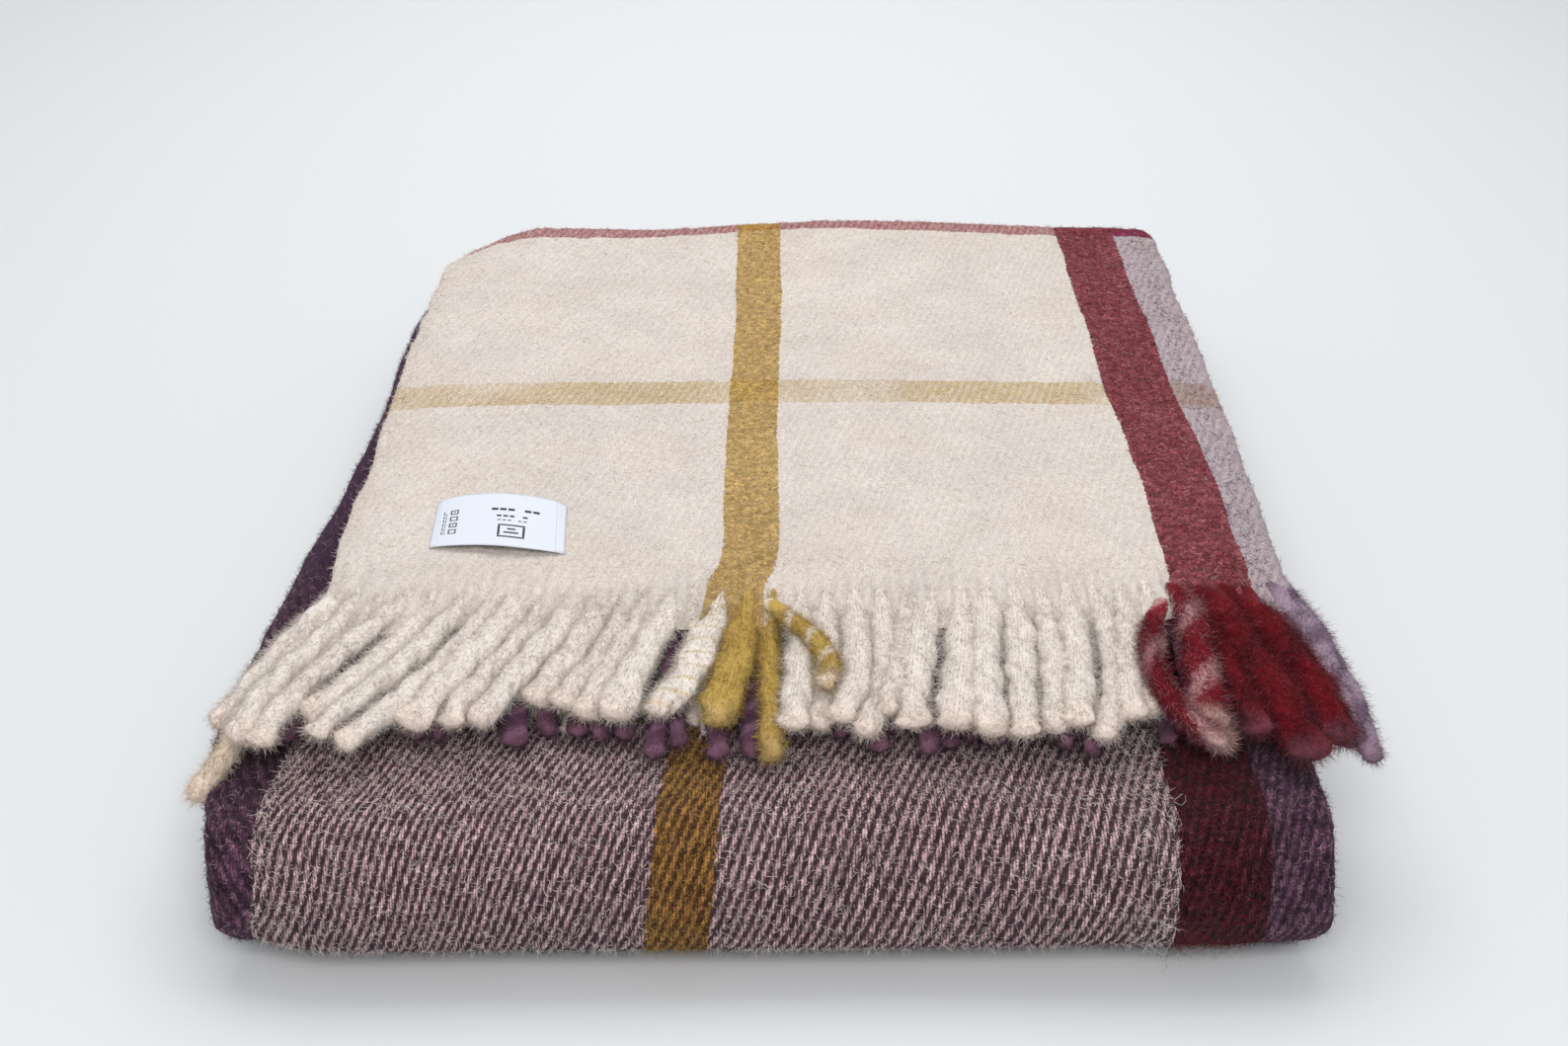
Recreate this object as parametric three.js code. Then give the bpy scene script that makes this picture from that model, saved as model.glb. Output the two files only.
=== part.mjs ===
// A woven wool throw, folded for storage: in thirds across its width, then in
// four along its length. One fringed end lies on top at the front, the other
// end lies hidden inside. Millimetres, +Z up, front towards -Y, resting on Z = 0.

import * as THREE from 'three';

// ---- driving dimensions -------------------------------------------------

const FLAT_WIDTH = 1250;       // cloth laid flat, selvedge to selvedge
const CLOTH_THICKNESS = 5;     // brushed cloth with its nap
const PLY_PITCH = 7.2;         // from one ply's middle to the next
const PLIES = 3;               // folded in thirds across the width
const STACK_WIDTH = 426;       // across the two lengthwise folds
const SELVEDGE_X = -196;       // the selvedge that shows, short of the left fold
const SKEW_X = 6.5;            // how far the top quarter sits right of the middle

const FRONT_FOLD_Y = -253;     // where the front fold starts to turn
const REAR_FOLD_Y = 259;       // where the outer rear fold starts to turn
const INNER_FOLD_Y = 248;      // where the inner rear fold starts to turn
const REAR_CORNER_R = 18;      // the outer rear fold is flatter than a half circle
const HEM_Y = -139;            // end of the weave, on top
const FRINGE_LENGTH = 94;
const FRINGE_CLEARANCE = 0.5;  // between the weave's end and the fringe

const TASSELS = 36;            // on each ply
const TASSEL_WIDTH = 10.6;
const TASSEL_HEIGHT = 6;
const TASSEL_SIDES = 8;
const TASSEL_STEPS = 4;
const TASSEL_DROP = 4.6;       // the tips lie lower than the weave's end
const TASSEL_LENGTH_SPREAD = 4;
const SWEEP_LEFT = 30;         // how far the leftmost tip leans out
const SWEEP_RIGHT = 12;        // how far the rightmost tip leans out

const COMB_THICKNESS = 4.2;    // plies of fringe that lie under another
const COMB_TOOTH_WIDTH = 9;
const COMB_ROOT = 5;
const SECOND_PLY_DROP = 3.6;
const THIRD_PLY_DROP = 1.2;

const LABEL_WIDTH = 59;
const LABEL_DEPTH = 44;
const LABEL_THICKNESS = 0.9;
const LABEL_ARCH = 9;
const LABEL_SEAM = 7;          // flat, sewn stretch at each end
const LABEL_LEFT_X = -155;
const LABEL_FRONT_Y = -108;
const LABEL_CLEARANCE = 0.4;
const STITCH_RADIUS = 0.5;
const STITCH_INSET = 2.5;      // from the label's end to its row of stitches

const ARC_STEPS = 6;           // per quarter turn of a crosswise fold
const EDGE_ARC_STEPS = 5;      // per half turn of a lengthwise fold
const FLAT_STEPS = 3;          // per straight stretch

// ---- heights of the four quarters of the length -------------------------

const QUARTER = PLIES * PLY_PITCH;
const Z_BOTTOM = 0.5 * QUARTER;
const Z_END = 1.5 * QUARTER;       // the quarter with the hidden end
const Z_MIDDLE = 2.5 * QUARTER;
const Z_TOP = 3.5 * QUARTER;
const HIDDEN_HEM_Y = FRONT_FOLD_Y + FRINGE_LENGTH + 2;

const material = (name, hex, roughness) => {
  const made = new THREE.MeshStandardMaterial({ color: hex, roughness, metalness: 0 });
  made.name = name;
  return made;
};
const WOOL = material('wool', 0xd9c9ba, 0.95);
const CREAM = material('wool_cream', 0xe0d5c9, 0.95);
const MUSTARD = material('wool_mustard', 0xa8843a, 0.95);
const BURGUNDY = material('wool_burgundy', 0x6b1f2c, 0.95);
const PURPLE = material('wool_purple', 0x6c5263, 0.95);
const LABEL = material('label', 0xf0f2f5, 0.6);
const THREAD = material('thread', 0xf4f4f4, 0.7);

// ---- the folded cloth ---------------------------------------------------

// Stations along the length: a point, the outward normal and a sideways shift.
function station(y, z, turn, shift) {
  return { y, z, ny: Math.cos(turn), nz: Math.sin(turn), shift };
}

function straight(stations, fromY, toY, z, turn, fromShift, toShift) {
  for (let i = 0; i <= FLAT_STEPS; i += 1) {
    const t = i / FLAT_STEPS;
    const shift = THREE.MathUtils.lerp(fromShift, toShift, t);
    stations.push(station(THREE.MathUtils.lerp(fromY, toY, t), z, turn, shift));
  }
}

// A turn about (y, z): the normal goes from one angle to the other.
function turning(stations, y, z, radius, fromTurn, toTurn, steps, shift) {
  for (let i = 0; i <= steps; i += 1) {
    const turn = THREE.MathUtils.lerp(fromTurn, toTurn, i / steps);
    const at = station(y + radius * Math.cos(turn), z + radius * Math.sin(turn), turn, shift);
    stations.push(at);
  }
}

// From the weave's end on top, back and down, forward, up, back and forward again.
function clothStations() {
  const up = Math.PI / 2;
  const stations = [];
  straight(stations, HEM_Y, REAR_FOLD_Y, Z_TOP, up, SKEW_X, SKEW_X);
  turning(stations, REAR_FOLD_Y, Z_TOP - REAR_CORNER_R, REAR_CORNER_R, up, 0, ARC_STEPS, SKEW_X / 2);
  turning(stations, REAR_FOLD_Y, Z_BOTTOM + REAR_CORNER_R, REAR_CORNER_R, 0, -up, ARC_STEPS, -SKEW_X / 2);
  straight(stations, REAR_FOLD_Y, FRONT_FOLD_Y, Z_BOTTOM, -up, -SKEW_X, -SKEW_X);
  const frontRadius = (Z_MIDDLE - Z_BOTTOM) / 2;
  turning(stations, FRONT_FOLD_Y, Z_BOTTOM + frontRadius, frontRadius, -up, -3 * up, 2 * ARC_STEPS, -SKEW_X);
  straight(stations, FRONT_FOLD_Y, INNER_FOLD_Y, Z_MIDDLE, -3 * up, -SKEW_X, 0);
  const innerRadius = (Z_MIDDLE - Z_END) / 2;
  turning(stations, INNER_FOLD_Y, Z_END + innerRadius, innerRadius, -3 * up, -5 * up, ARC_STEPS, 0);
  straight(stations, INNER_FOLD_Y, HIDDEN_HEM_Y, Z_END, -5 * up, 0, 0);
  return stations.filter((at, i) => i === 0 || distance(at, stations[i - 1]) > 0.01);
}

function distance(a, b) {
  return Math.hypot(a.y - b.y, a.z - b.z);
}

// One side of the cloth seen from its end: x across, n towards the outer ply.
function sideOfSection(offset) {
  const foldRadius = PLY_PITCH / 2;
  const foldX = STACK_WIDTH / 2 - foldRadius - CLOTH_THICKNESS / 2;
  const halfTurn = Math.PI * foldRadius;
  const firstPly = foldX - SELVEDGE_X;
  const lastPly = FLAT_WIDTH - firstPly - 2 * foldX - 2 * halfTurn;
  const points = [new THREE.Vector2(SELVEDGE_X, PLY_PITCH + offset)];
  for (let i = 0; i <= EDGE_ARC_STEPS; i += 1) {
    const turn = Math.PI * (0.5 - i / EDGE_ARC_STEPS);
    const reach = foldRadius + offset;
    points.push(new THREE.Vector2(foldX + reach * Math.cos(turn), foldRadius + reach * Math.sin(turn)));
  }
  for (let i = 0; i <= EDGE_ARC_STEPS; i += 1) {
    const turn = Math.PI * (0.5 + i / EDGE_ARC_STEPS);
    const reach = foldRadius - offset;
    points.push(new THREE.Vector2(-foldX + reach * Math.cos(turn), -foldRadius + reach * Math.sin(turn)));
  }
  points.push(new THREE.Vector2(-foldX + lastPly, -PLY_PITCH + offset));
  return points;
}

function clothSection() {
  const outer = sideOfSection(CLOTH_THICKNESS / 2);
  const inner = sideOfSection(-CLOTH_THICKNESS / 2);
  return inner.concat(outer.reverse());
}

// A section swept over stations, closed with a cap at each end.
function sweep(section, stations) {
  const positions = [];
  for (const at of stations) {
    for (const point of section) {
      positions.push(point.x + at.shift, at.y + point.y * at.ny, at.z + point.y * at.nz);
    }
  }
  const count = section.length;
  const index = [];
  for (let row = 0; row + 1 < stations.length; row += 1) {
    for (let i = 0; i < count; i += 1) {
      const a = row * count + i;
      const b = row * count + ((i + 1) % count);
      index.push(a, b, b + count, a, b + count, a + count);
    }
  }
  const last = (stations.length - 1) * count;
  for (const [a, b, c] of THREE.ShapeUtils.triangulateShape(section, [])) {
    index.push(a, c, b, last + a, last + b, last + c);
  }
  return closedGeometry(positions, index);
}

// Faces are turned over if they point inwards.
function closedGeometry(positions, index) {
  if (signedVolume(positions, index) < 0) {
    index.reverse();
  }
  const geometry = new THREE.BufferGeometry();
  geometry.setAttribute('position', new THREE.Float32BufferAttribute(positions, 3));
  geometry.setIndex(index);
  geometry.computeVertexNormals();
  return geometry;
}

function signedVolume(positions, index) {
  const corner = (i) => new THREE.Vector3().fromArray(positions, 3 * i);
  let volume = 0;
  for (let i = 0; i < index.length; i += 3) {
    const [a, b, c] = [corner(index[i]), corner(index[i + 1]), corner(index[i + 2])];
    volume += a.dot(b.cross(c)) / 6;
  }
  return volume;
}

function cloth() {
  return new THREE.Mesh(sweep(clothSection(), clothStations()), WOOL);
}

// ---- fringe -------------------------------------------------------------

// A little unevenness that repeats the same way each time.
const uneven = (i, pace) => Math.sin(i * pace + 0.7) * Math.cos(i * 0.61 * pace);

const tasselLength = (i) => FRINGE_LENGTH - TASSEL_LENGTH_SPREAD * (1 + uneven(i, 2.3));

function tasselTip(i) {
  const across = (i + 0.5) / TASSELS;
  return SWEEP_RIGHT * across ** 4 - SWEEP_LEFT * (1 - across) ** 2;
}

function tasselRoot(i) {
  const left = SELVEDGE_X + SKEW_X;
  const right = STACK_WIDTH / 2 + SKEW_X;
  return THREE.MathUtils.lerp(left, right, (i + 0.5) / TASSELS);
}

// One twisted tassel: an oval tube that leans outwards and sinks at its tip.
function tassel(i, made) {
  const positions = [];
  const length = tasselLength(i);
  for (let step = 0; step <= TASSEL_STEPS; step += 1) {
    const t = step / TASSEL_STEPS;
    const x = tasselRoot(i) + tasselTip(i) * t ** 1.4;
    const y = HEM_Y - FRINGE_CLEARANCE - length * t;
    const z = Z_TOP + PLY_PITCH - TASSEL_DROP * t * t;
    for (let side = 0; side < TASSEL_SIDES; side += 1) {
      const turn = (2 * Math.PI * side) / TASSEL_SIDES;
      const dx = (TASSEL_WIDTH / 2) * Math.cos(turn);
      const dz = (TASSEL_HEIGHT / 2) * Math.sin(turn);
      positions.push(x + dx, y, z + dz);
    }
  }
  return new THREE.Mesh(closedGeometry(positions, tubeIndex(TASSEL_STEPS, TASSEL_SIDES)), made);
}

function tubeIndex(steps, sides) {
  const index = [];
  for (let step = 0; step < steps; step += 1) {
    for (let side = 0; side < sides; side += 1) {
      const a = step * sides + side;
      const b = step * sides + ((side + 1) % sides);
      index.push(a, b, b + sides, a, b + sides, a + sides);
    }
  }
  const last = steps * sides;
  for (let side = 1; side + 1 < sides; side += 1) {
    index.push(0, side + 1, side, last, last + side, last + side + 1);
  }
  return index;
}

// A tassel's yarn follows the warp stripe that it comes from.
function tasselWool(i) {
  const u = tasselRoot(i) - SELVEDGE_X - SKEW_X;
  const stripes = [[163, CREAM], [187, MUSTARD], [350, CREAM], [386, BURGUNDY]];
  for (const [end, wool] of stripes) {
    if (u < end) {
      return wool;
    }
  }
  return PURPLE;
}

// A ply of fringe that lies under or inside the stack: tassels on one root.
function comb(fromX, toX, phase) {
  const pitch = (toX - fromX) / TASSELS;
  const outline = new THREE.Shape();
  outline.moveTo(fromX, 0);
  for (let i = 0; i < TASSELS; i += 1) {
    const left = fromX + i * pitch + (pitch - COMB_TOOTH_WIDTH) / 2;
    const tip = -tasselLength(i + phase);
    outline.lineTo(left, -COMB_ROOT);
    outline.lineTo(left, tip);
    outline.lineTo(left + COMB_TOOTH_WIDTH, tip);
    outline.lineTo(left + COMB_TOOTH_WIDTH, -COMB_ROOT);
  }
  outline.lineTo(toX, 0);
  const geometry = new THREE.ExtrudeGeometry(outline, { depth: COMB_THICKNESS, bevelEnabled: false });
  geometry.translate(0, 0, -COMB_THICKNESS / 2);
  return new THREE.Mesh(geometry, PURPLE);
}

function combAt(ply, hemY, z, drop, shift) {
  const edge = STACK_WIDTH / 2 - CLOTH_THICKNESS;
  const made = comb(-edge, edge, 5 * ply);
  made.position.set(shift, hemY - FRINGE_CLEARANCE, z);
  made.rotation.x = Math.atan2(drop, FRINGE_LENGTH);
  return made;
}

// ---- label --------------------------------------------------------------

// Height of the arched ribbon above its sewn ends, at x from its left end.
function labelHeight(x) {
  const free = LABEL_WIDTH - 2 * LABEL_SEAM;
  const t = THREE.MathUtils.clamp((x - LABEL_SEAM) / free, 0, 1);
  return LABEL_ARCH * Math.sin(Math.PI * t) ** 2;
}

function label() {
  const steps = 24;
  const outline = new THREE.Shape();
  outline.moveTo(0, 0);
  for (let i = 1; i <= steps; i += 1) {
    const x = (LABEL_WIDTH * i) / steps;
    outline.lineTo(x, labelHeight(x));
  }
  for (let i = steps; i >= 0; i -= 1) {
    const x = (LABEL_WIDTH * i) / steps;
    outline.lineTo(x, labelHeight(x) + LABEL_THICKNESS);
  }
  const geometry = new THREE.ExtrudeGeometry(outline, { depth: LABEL_DEPTH, bevelEnabled: false });
  const made = new THREE.Mesh(geometry, LABEL);
  made.rotation.x = Math.PI / 2;
  made.position.set(LABEL_LEFT_X, LABEL_FRONT_Y + LABEL_DEPTH, labelBase());
  return made;
}

const labelBase = () => Z_TOP + PLY_PITCH + CLOTH_THICKNESS / 2 + LABEL_CLEARANCE;

function stitchRow(x) {
  const length = LABEL_DEPTH - 4;
  const made = new THREE.Mesh(new THREE.CylinderGeometry(STITCH_RADIUS, STITCH_RADIUS, length, 8), THREAD);
  const z = labelBase() + LABEL_THICKNESS + LABEL_CLEARANCE + STITCH_RADIUS;
  made.position.set(x, LABEL_FRONT_Y + LABEL_DEPTH / 2, z);
  return made;
}

// ---- the throw ----------------------------------------------------------

function named(mesh, name) {
  mesh.name = name;
  return mesh;
}

function build() {
  const throwBlanket = new THREE.Group();
  throwBlanket.add(named(cloth(), 'cloth'));
  for (let i = 0; i < TASSELS; i += 1) {
    const number = String(i + 1).padStart(2, '0');
    throwBlanket.add(named(tassel(i, tasselWool(i)), `tassel_${number}`));
  }
  const second = combAt(1, HEM_Y, Z_TOP, SECOND_PLY_DROP, SKEW_X);
  const third = combAt(2, HEM_Y, Z_TOP - PLY_PITCH, THIRD_PLY_DROP, SKEW_X);
  throwBlanket.add(named(second, 'fringe_second_ply'));
  throwBlanket.add(named(third, 'fringe_third_ply'));
  for (let ply = 0; ply < PLIES; ply += 1) {
    const z = Z_END + (ply - 1) * PLY_PITCH;
    const inner = combAt(ply + 3, HIDDEN_HEM_Y, z, 0, 0);
    throwBlanket.add(named(inner, `hidden_fringe_ply_${ply + 1}`));
  }
  throwBlanket.add(named(label(), 'label'));
  throwBlanket.add(named(stitchRow(LABEL_LEFT_X + STITCH_INSET), 'label_stitches_left'));
  const rightRow = stitchRow(LABEL_LEFT_X + LABEL_WIDTH - STITCH_INSET);
  throwBlanket.add(named(rightRow, 'label_stitches_right'));
  return throwBlanket;
}

// The origin is at the middle of the base.
function centred(group) {
  group.updateMatrixWorld(true);
  const box = new THREE.Box3().setFromObject(group);
  const middle = box.getCenter(new THREE.Vector3());
  group.position.set(-middle.x, -middle.y, -box.min.z);
  return group;
}

export default centred(build());
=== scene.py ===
"""A folded wool throw with a twisted fringe and a sewn-in label, built around its CAD frame."""

import math

import bpy
import numpy as np
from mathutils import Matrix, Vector


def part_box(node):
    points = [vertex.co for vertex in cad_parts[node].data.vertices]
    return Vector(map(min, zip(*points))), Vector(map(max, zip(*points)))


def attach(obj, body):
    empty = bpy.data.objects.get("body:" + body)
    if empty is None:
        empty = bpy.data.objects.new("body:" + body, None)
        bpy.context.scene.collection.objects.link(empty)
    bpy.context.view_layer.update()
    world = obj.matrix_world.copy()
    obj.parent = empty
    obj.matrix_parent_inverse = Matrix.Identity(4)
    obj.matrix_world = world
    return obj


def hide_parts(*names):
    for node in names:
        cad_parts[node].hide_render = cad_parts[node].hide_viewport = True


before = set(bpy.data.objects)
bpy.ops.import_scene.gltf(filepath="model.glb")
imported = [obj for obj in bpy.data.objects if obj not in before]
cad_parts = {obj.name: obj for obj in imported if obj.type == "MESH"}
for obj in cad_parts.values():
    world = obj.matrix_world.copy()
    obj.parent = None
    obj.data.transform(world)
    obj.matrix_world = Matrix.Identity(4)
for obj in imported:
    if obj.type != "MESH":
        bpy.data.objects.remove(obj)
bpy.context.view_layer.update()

# ---- driving dimensions, in millimetres like the CAD source ----------------

MM = 0.001
CLOTH_WIDTH = 1250.0
PLY_PITCH = 7.2
CLOTH_THICKNESS = 5.6          # the nap fills part of the gap that CAD leaves
CAD_THICKNESS = 5.0
STACK_WIDTH = 426.0
SELVEDGE_X = -196.0
FRONT_FOLD_Y = -253.0
REAR_FOLD_Y = 259.0
INNER_FOLD_Y = 248.0
REAR_CORNER_R = 18.0
HEM_Y = -139.0
FRINGE = 94.0
TASSELS = 36
QUARTER = 3 * PLY_PITCH
Z_BOTTOM, Z_END, Z_MIDDLE, Z_TOP = (QUARTER * k for k in (0.5, 1.5, 2.5, 3.5))
HIDDEN_HEM_Y = FRONT_FOLD_Y + FRINGE + 2
WEB = 12.0

# ---- the frame -------------------------------------------------------------

CLOTH_LOW, CLOTH_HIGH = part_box("cloth")
FRONT_RADIUS = (Z_MIDDLE - Z_BOTTOM) / 2
FORE = FRONT_FOLD_Y - FRONT_RADIUS - PLY_PITCH - CAD_THICKNESS / 2
BASE = Z_BOTTOM - PLY_PITCH - CAD_THICKNESS / 2
ORIGIN = np.array([
    (CLOTH_LOW.x + CLOTH_HIGH.x) / 2,
    CLOTH_LOW.y - FORE * MM,
    CLOTH_LOW.z - BASE * MM,
])


def placed(points):
    """Points in millimetres, in the CAD source's terms, as metres in the frame."""
    return np.asarray(points, float) * MM + ORIGIN


# ---- noise -----------------------------------------------------------------

LATTICE = np.random.RandomState(11).uniform(-1, 1, (256, 256))


def noise(x, y, seed=0):
    """Smooth value noise from -1 to 1, with one bump per unit."""
    x = np.asarray(x, float) + 17.31 * seed
    y = np.asarray(y, float) + 9.17 * seed
    xi, yi = np.floor(x).astype(int), np.floor(y).astype(int)
    fx, fy = x - xi, y - yi
    fx = fx ** 3 * (fx * (fx * 6 - 15) + 10)
    fy = fy ** 3 * (fy * (fy * 6 - 15) + 10)
    near = LATTICE[xi % 256, yi % 256] * (1 - fx) + LATTICE[(xi + 1) % 256, yi % 256] * fx
    yi = yi + 1
    far = LATTICE[xi % 256, yi % 256] * (1 - fx) + LATTICE[(xi + 1) % 256, yi % 256] * fx
    return near * (1 - fy) + far * fy


def fractal(x, y, seed=0, octaves=3):
    total = 0
    for k in range(octaves):
        total = total + noise(np.asarray(x) * 2 ** k, np.asarray(y) * 2 ** k, seed + k) / 2 ** k
    return total


def smooth(low, high, value):
    t = np.clip((np.asarray(value, float) - low) / (high - low), 0, 1)
    return t * t * (3 - 2 * t)


def hump(value, middle, width):
    return np.exp(-((np.asarray(value, float) - middle) / width) ** 2)


# ---- meshes ----------------------------------------------------------------


def mesh_object(name, points, faces, material, attributes=()):
    """A mesh object from points in metres, arrays of faces and named point vectors."""
    mesh = bpy.data.meshes.new(name)
    faces = [np.atleast_2d(np.asarray(block, np.int32)) for block in faces if len(block)]
    corners = np.concatenate([block.ravel() for block in faces])
    totals = np.concatenate([np.full(len(block), block.shape[1], np.int32) for block in faces])
    starts = np.concatenate([[0], np.cumsum(totals)[:-1]]).astype(np.int32)
    mesh.vertices.add(len(points))
    mesh.vertices.foreach_set("co", np.asarray(points, np.float32).ravel())
    mesh.loops.add(len(corners))
    mesh.loops.foreach_set("vertex_index", corners)
    mesh.polygons.add(len(totals))
    mesh.polygons.foreach_set("loop_start", starts)
    mesh.update(calc_edges=True)
    for key, values in attributes:
        layer = mesh.attributes.new(key, "FLOAT_VECTOR", "POINT")
        layer.data.foreach_set("vector", np.asarray(values, np.float32).ravel())
    mesh.polygons.foreach_set("use_smooth", np.ones(len(mesh.polygons), bool))
    mesh.materials.append(material)
    made = bpy.data.objects.new(name, mesh)
    bpy.context.scene.collection.objects.link(made)
    return made


def finished(made, slot, *nodes):
    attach(made, "root")
    if nodes:
        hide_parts(*nodes)
    return made


def grid_faces(rows, columns, start=0, wrap=False):
    """Quads between rows of points; wrap joins the last column to the first."""
    last = columns if wrap else columns - 1
    row, column = np.meshgrid(np.arange(rows - 1), np.arange(last), indexing="ij")
    after = (column + 1) % columns
    a = start + row * columns + column
    b = start + row * columns + after
    return np.stack([a, b, b + columns, a + columns], -1).reshape(-1, 4)


def unit(vectors):
    return vectors / (np.linalg.norm(vectors, axis=-1, keepdims=True) + 1e-9)


def fibres(roots, ways, lengths, radius, curl, rng, segments=3):
    """Loose fibres as thin closed tubes of three sides that end in a point, in millimetres."""
    count = len(roots)
    line = [roots - ways * 0.3]
    way = ways
    for _ in range(segments):
        line.append(line[-1] + way * (lengths / segments)[:, None])
        way = unit(way + curl * rng.normal(size=(count, 3)))
    side = unit(np.cross(ways, rng.normal(size=(count, 3))))
    up = np.cross(ways, side)
    rings = []
    for k in range(segments):
        thick = radius * (1 - 0.55 * k / segments)
        for corner in range(3):
            turn = 2 * math.pi * corner / 3
            rings.append(line[k] + thick * (side * math.cos(turn) + up * math.sin(turn)))
    rings.append(line[-1])
    points = np.stack(rings, 1)
    per = points.shape[1]
    base = (np.arange(count) * per)[:, None]
    quads = []
    for k in range(segments - 1):
        for corner in range(3):
            a, b = 3 * k + corner, 3 * k + (corner + 1) % 3
            quads.append(base + np.array([a, b, b + 3, a + 3]))
    last = 3 * (segments - 1)
    tris = [base + np.array([0, 2, 1])]
    tris += [base + np.array([last + c, last + (c + 1) % 3, per - 1]) for c in range(3)]
    return points.reshape(-1, 3), [np.concatenate(quads), np.concatenate(tris)], per


# ---- the folded cloth ------------------------------------------------------

FOLD_R = PLY_PITCH / 2
FOLD_X = STACK_WIDTH / 2 - FOLD_R - CAD_THICKNESS / 2
FIRST_FOLD = FOLD_X - SELVEDGE_X
HALF_TURN = math.pi * FOLD_R
SECOND_START = FIRST_FOLD + HALF_TURN
SECOND_FOLD = SECOND_START + 2 * FOLD_X
THIRD_START = SECOND_FOLD + HALF_TURN


def length_path():
    """Rows of y, z and the outward normal's angle, every millimetre of v."""
    rows = []

    def straight(from_y, to_y, z, turn):
        for t in np.linspace(0, 1, int(abs(to_y - from_y)), endpoint=False):
            rows.append((from_y + (to_y - from_y) * t, z, turn))

    def turning(y, z, radius, from_turn, to_turn):
        steps = int(radius * abs(to_turn - from_turn))
        for turn in np.linspace(from_turn, to_turn, steps, endpoint=False):
            rows.append((y + radius * math.cos(turn), z + radius * math.sin(turn), turn))

    up = math.pi / 2
    straight(HEM_Y, REAR_FOLD_Y, Z_TOP, up)
    turning(REAR_FOLD_Y, Z_TOP - REAR_CORNER_R, REAR_CORNER_R, up, 0)
    low, high = Z_BOTTOM + REAR_CORNER_R, Z_TOP - REAR_CORNER_R
    for z in np.linspace(high, low, int(high - low), endpoint=False):
        rows.append((REAR_FOLD_Y + REAR_CORNER_R, z, 0.0))
    turning(REAR_FOLD_Y, low, REAR_CORNER_R, 0, -up)
    straight(REAR_FOLD_Y, FRONT_FOLD_Y, Z_BOTTOM, -up)
    turning(FRONT_FOLD_Y, Z_BOTTOM + FRONT_RADIUS, FRONT_RADIUS, -up, -3 * up)
    straight(FRONT_FOLD_Y, INNER_FOLD_Y, Z_MIDDLE, -3 * up)
    inner = (Z_MIDDLE - Z_END) / 2
    turning(INNER_FOLD_Y, Z_END + inner, inner, -3 * up, -5 * up)
    straight(INNER_FOLD_Y, HIDDEN_HEM_Y, Z_END, -5 * up)
    rows.append((HIDDEN_HEM_Y, Z_END, -5 * up))
    path = np.array(rows)
    steps = np.hypot(np.diff(path[:, 0]), np.diff(path[:, 1]))
    return np.concatenate([[0], np.cumsum(steps)]), path


PATH_V, PATH = length_path()
CLOTH_LENGTH = PATH_V[-1]


def along(v):
    return [np.interp(v, PATH_V, PATH[:, k]) for k in range(3)]


def v_where(turn):
    """The v at which the outward normal first reaches an angle."""
    return float(PATH_V[np.argmax(PATH[:, 2] <= turn + 1e-9)])


V_REAR = v_where(math.pi / 2 - 0.01)
V_REAR_END = v_where(-math.pi / 2)
V_FRONT = v_where(-math.pi / 2 - 0.01)
V_FRONT_END = v_where(-3 * math.pi / 2)

# Where the visible selvedge and the stack's left and right edges lie, along v.
EDGE_V = [0, V_REAR, V_REAR_END, V_FRONT, V_FRONT_END, V_FRONT_END + 62, V_FRONT_END + 130,
          V_FRONT_END + 187, V_FRONT_END + 253, V_FRONT_END + 290, V_FRONT_END + 500, CLOTH_LENGTH]
SELVEDGE = [-192, -183, -188, -199, -198, -190, -188, -188, -188, -187, -186, -186]
LEFT = [-188.5, -183, -204, -214, -217, -228, -222, -216, -207, -203, -198, -202]
RIGHT = [216, 218, 210, 204, 203, 206, 208, 208, 208, 208, 209, 208]


def across(u, v):
    """Where u lies across the stack: x, the height n of its ply, and its outward normal."""
    selvedge = np.interp(v, EDGE_V, SELVEDGE)
    left_x = np.interp(v, EDGE_V, LEFT) + FOLD_R + CAD_THICKNESS / 2
    right_x = np.interp(v, EDGE_V, RIGHT) - FOLD_R - CAD_THICKNESS / 2
    width = right_x - left_x
    right = (u - FIRST_FOLD) / FOLD_R
    left = (u - SECOND_FOLD) / FOLD_R
    half = math.pi / 2
    parts = [u < FIRST_FOLD, u < SECOND_START, u < SECOND_FOLD, u < THIRD_START]
    x = np.select(parts, [
        selvedge + u * (right_x - selvedge) / FIRST_FOLD,
        right_x + FOLD_R * np.cos(half - right),
        right_x - (u - SECOND_START) * width / (2 * FOLD_X),
        left_x + FOLD_R * np.cos(half + left),
    ], left_x + (u - THIRD_START) * width / (2 * FOLD_X))
    n = np.select(parts, [
        PLY_PITCH + 0 * u, FOLD_R + FOLD_R * np.sin(half - right),
        0 * u, -FOLD_R + FOLD_R * np.sin(half + left),
    ], -PLY_PITCH)
    loop = smooth(SECOND_FOLD - 26, SECOND_FOLD - 2, u) * smooth(THIRD_START, SECOND_FOLD, u)
    rolled = smooth(V_FRONT - 60, V_FRONT, v) * smooth(V_FRONT_END + 60, V_FRONT_END, v)
    n = n + 4.6 * loop * rolled
    nx = np.select(parts, [0 * u, np.cos(half - right), 0 * u, -np.cos(half + left)], 0)
    nn = np.select(parts, [1 + 0 * u, np.sin(half - right), -1 + 0 * u, -np.sin(half + left)], 1)
    return x, n, nx, nn


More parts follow.
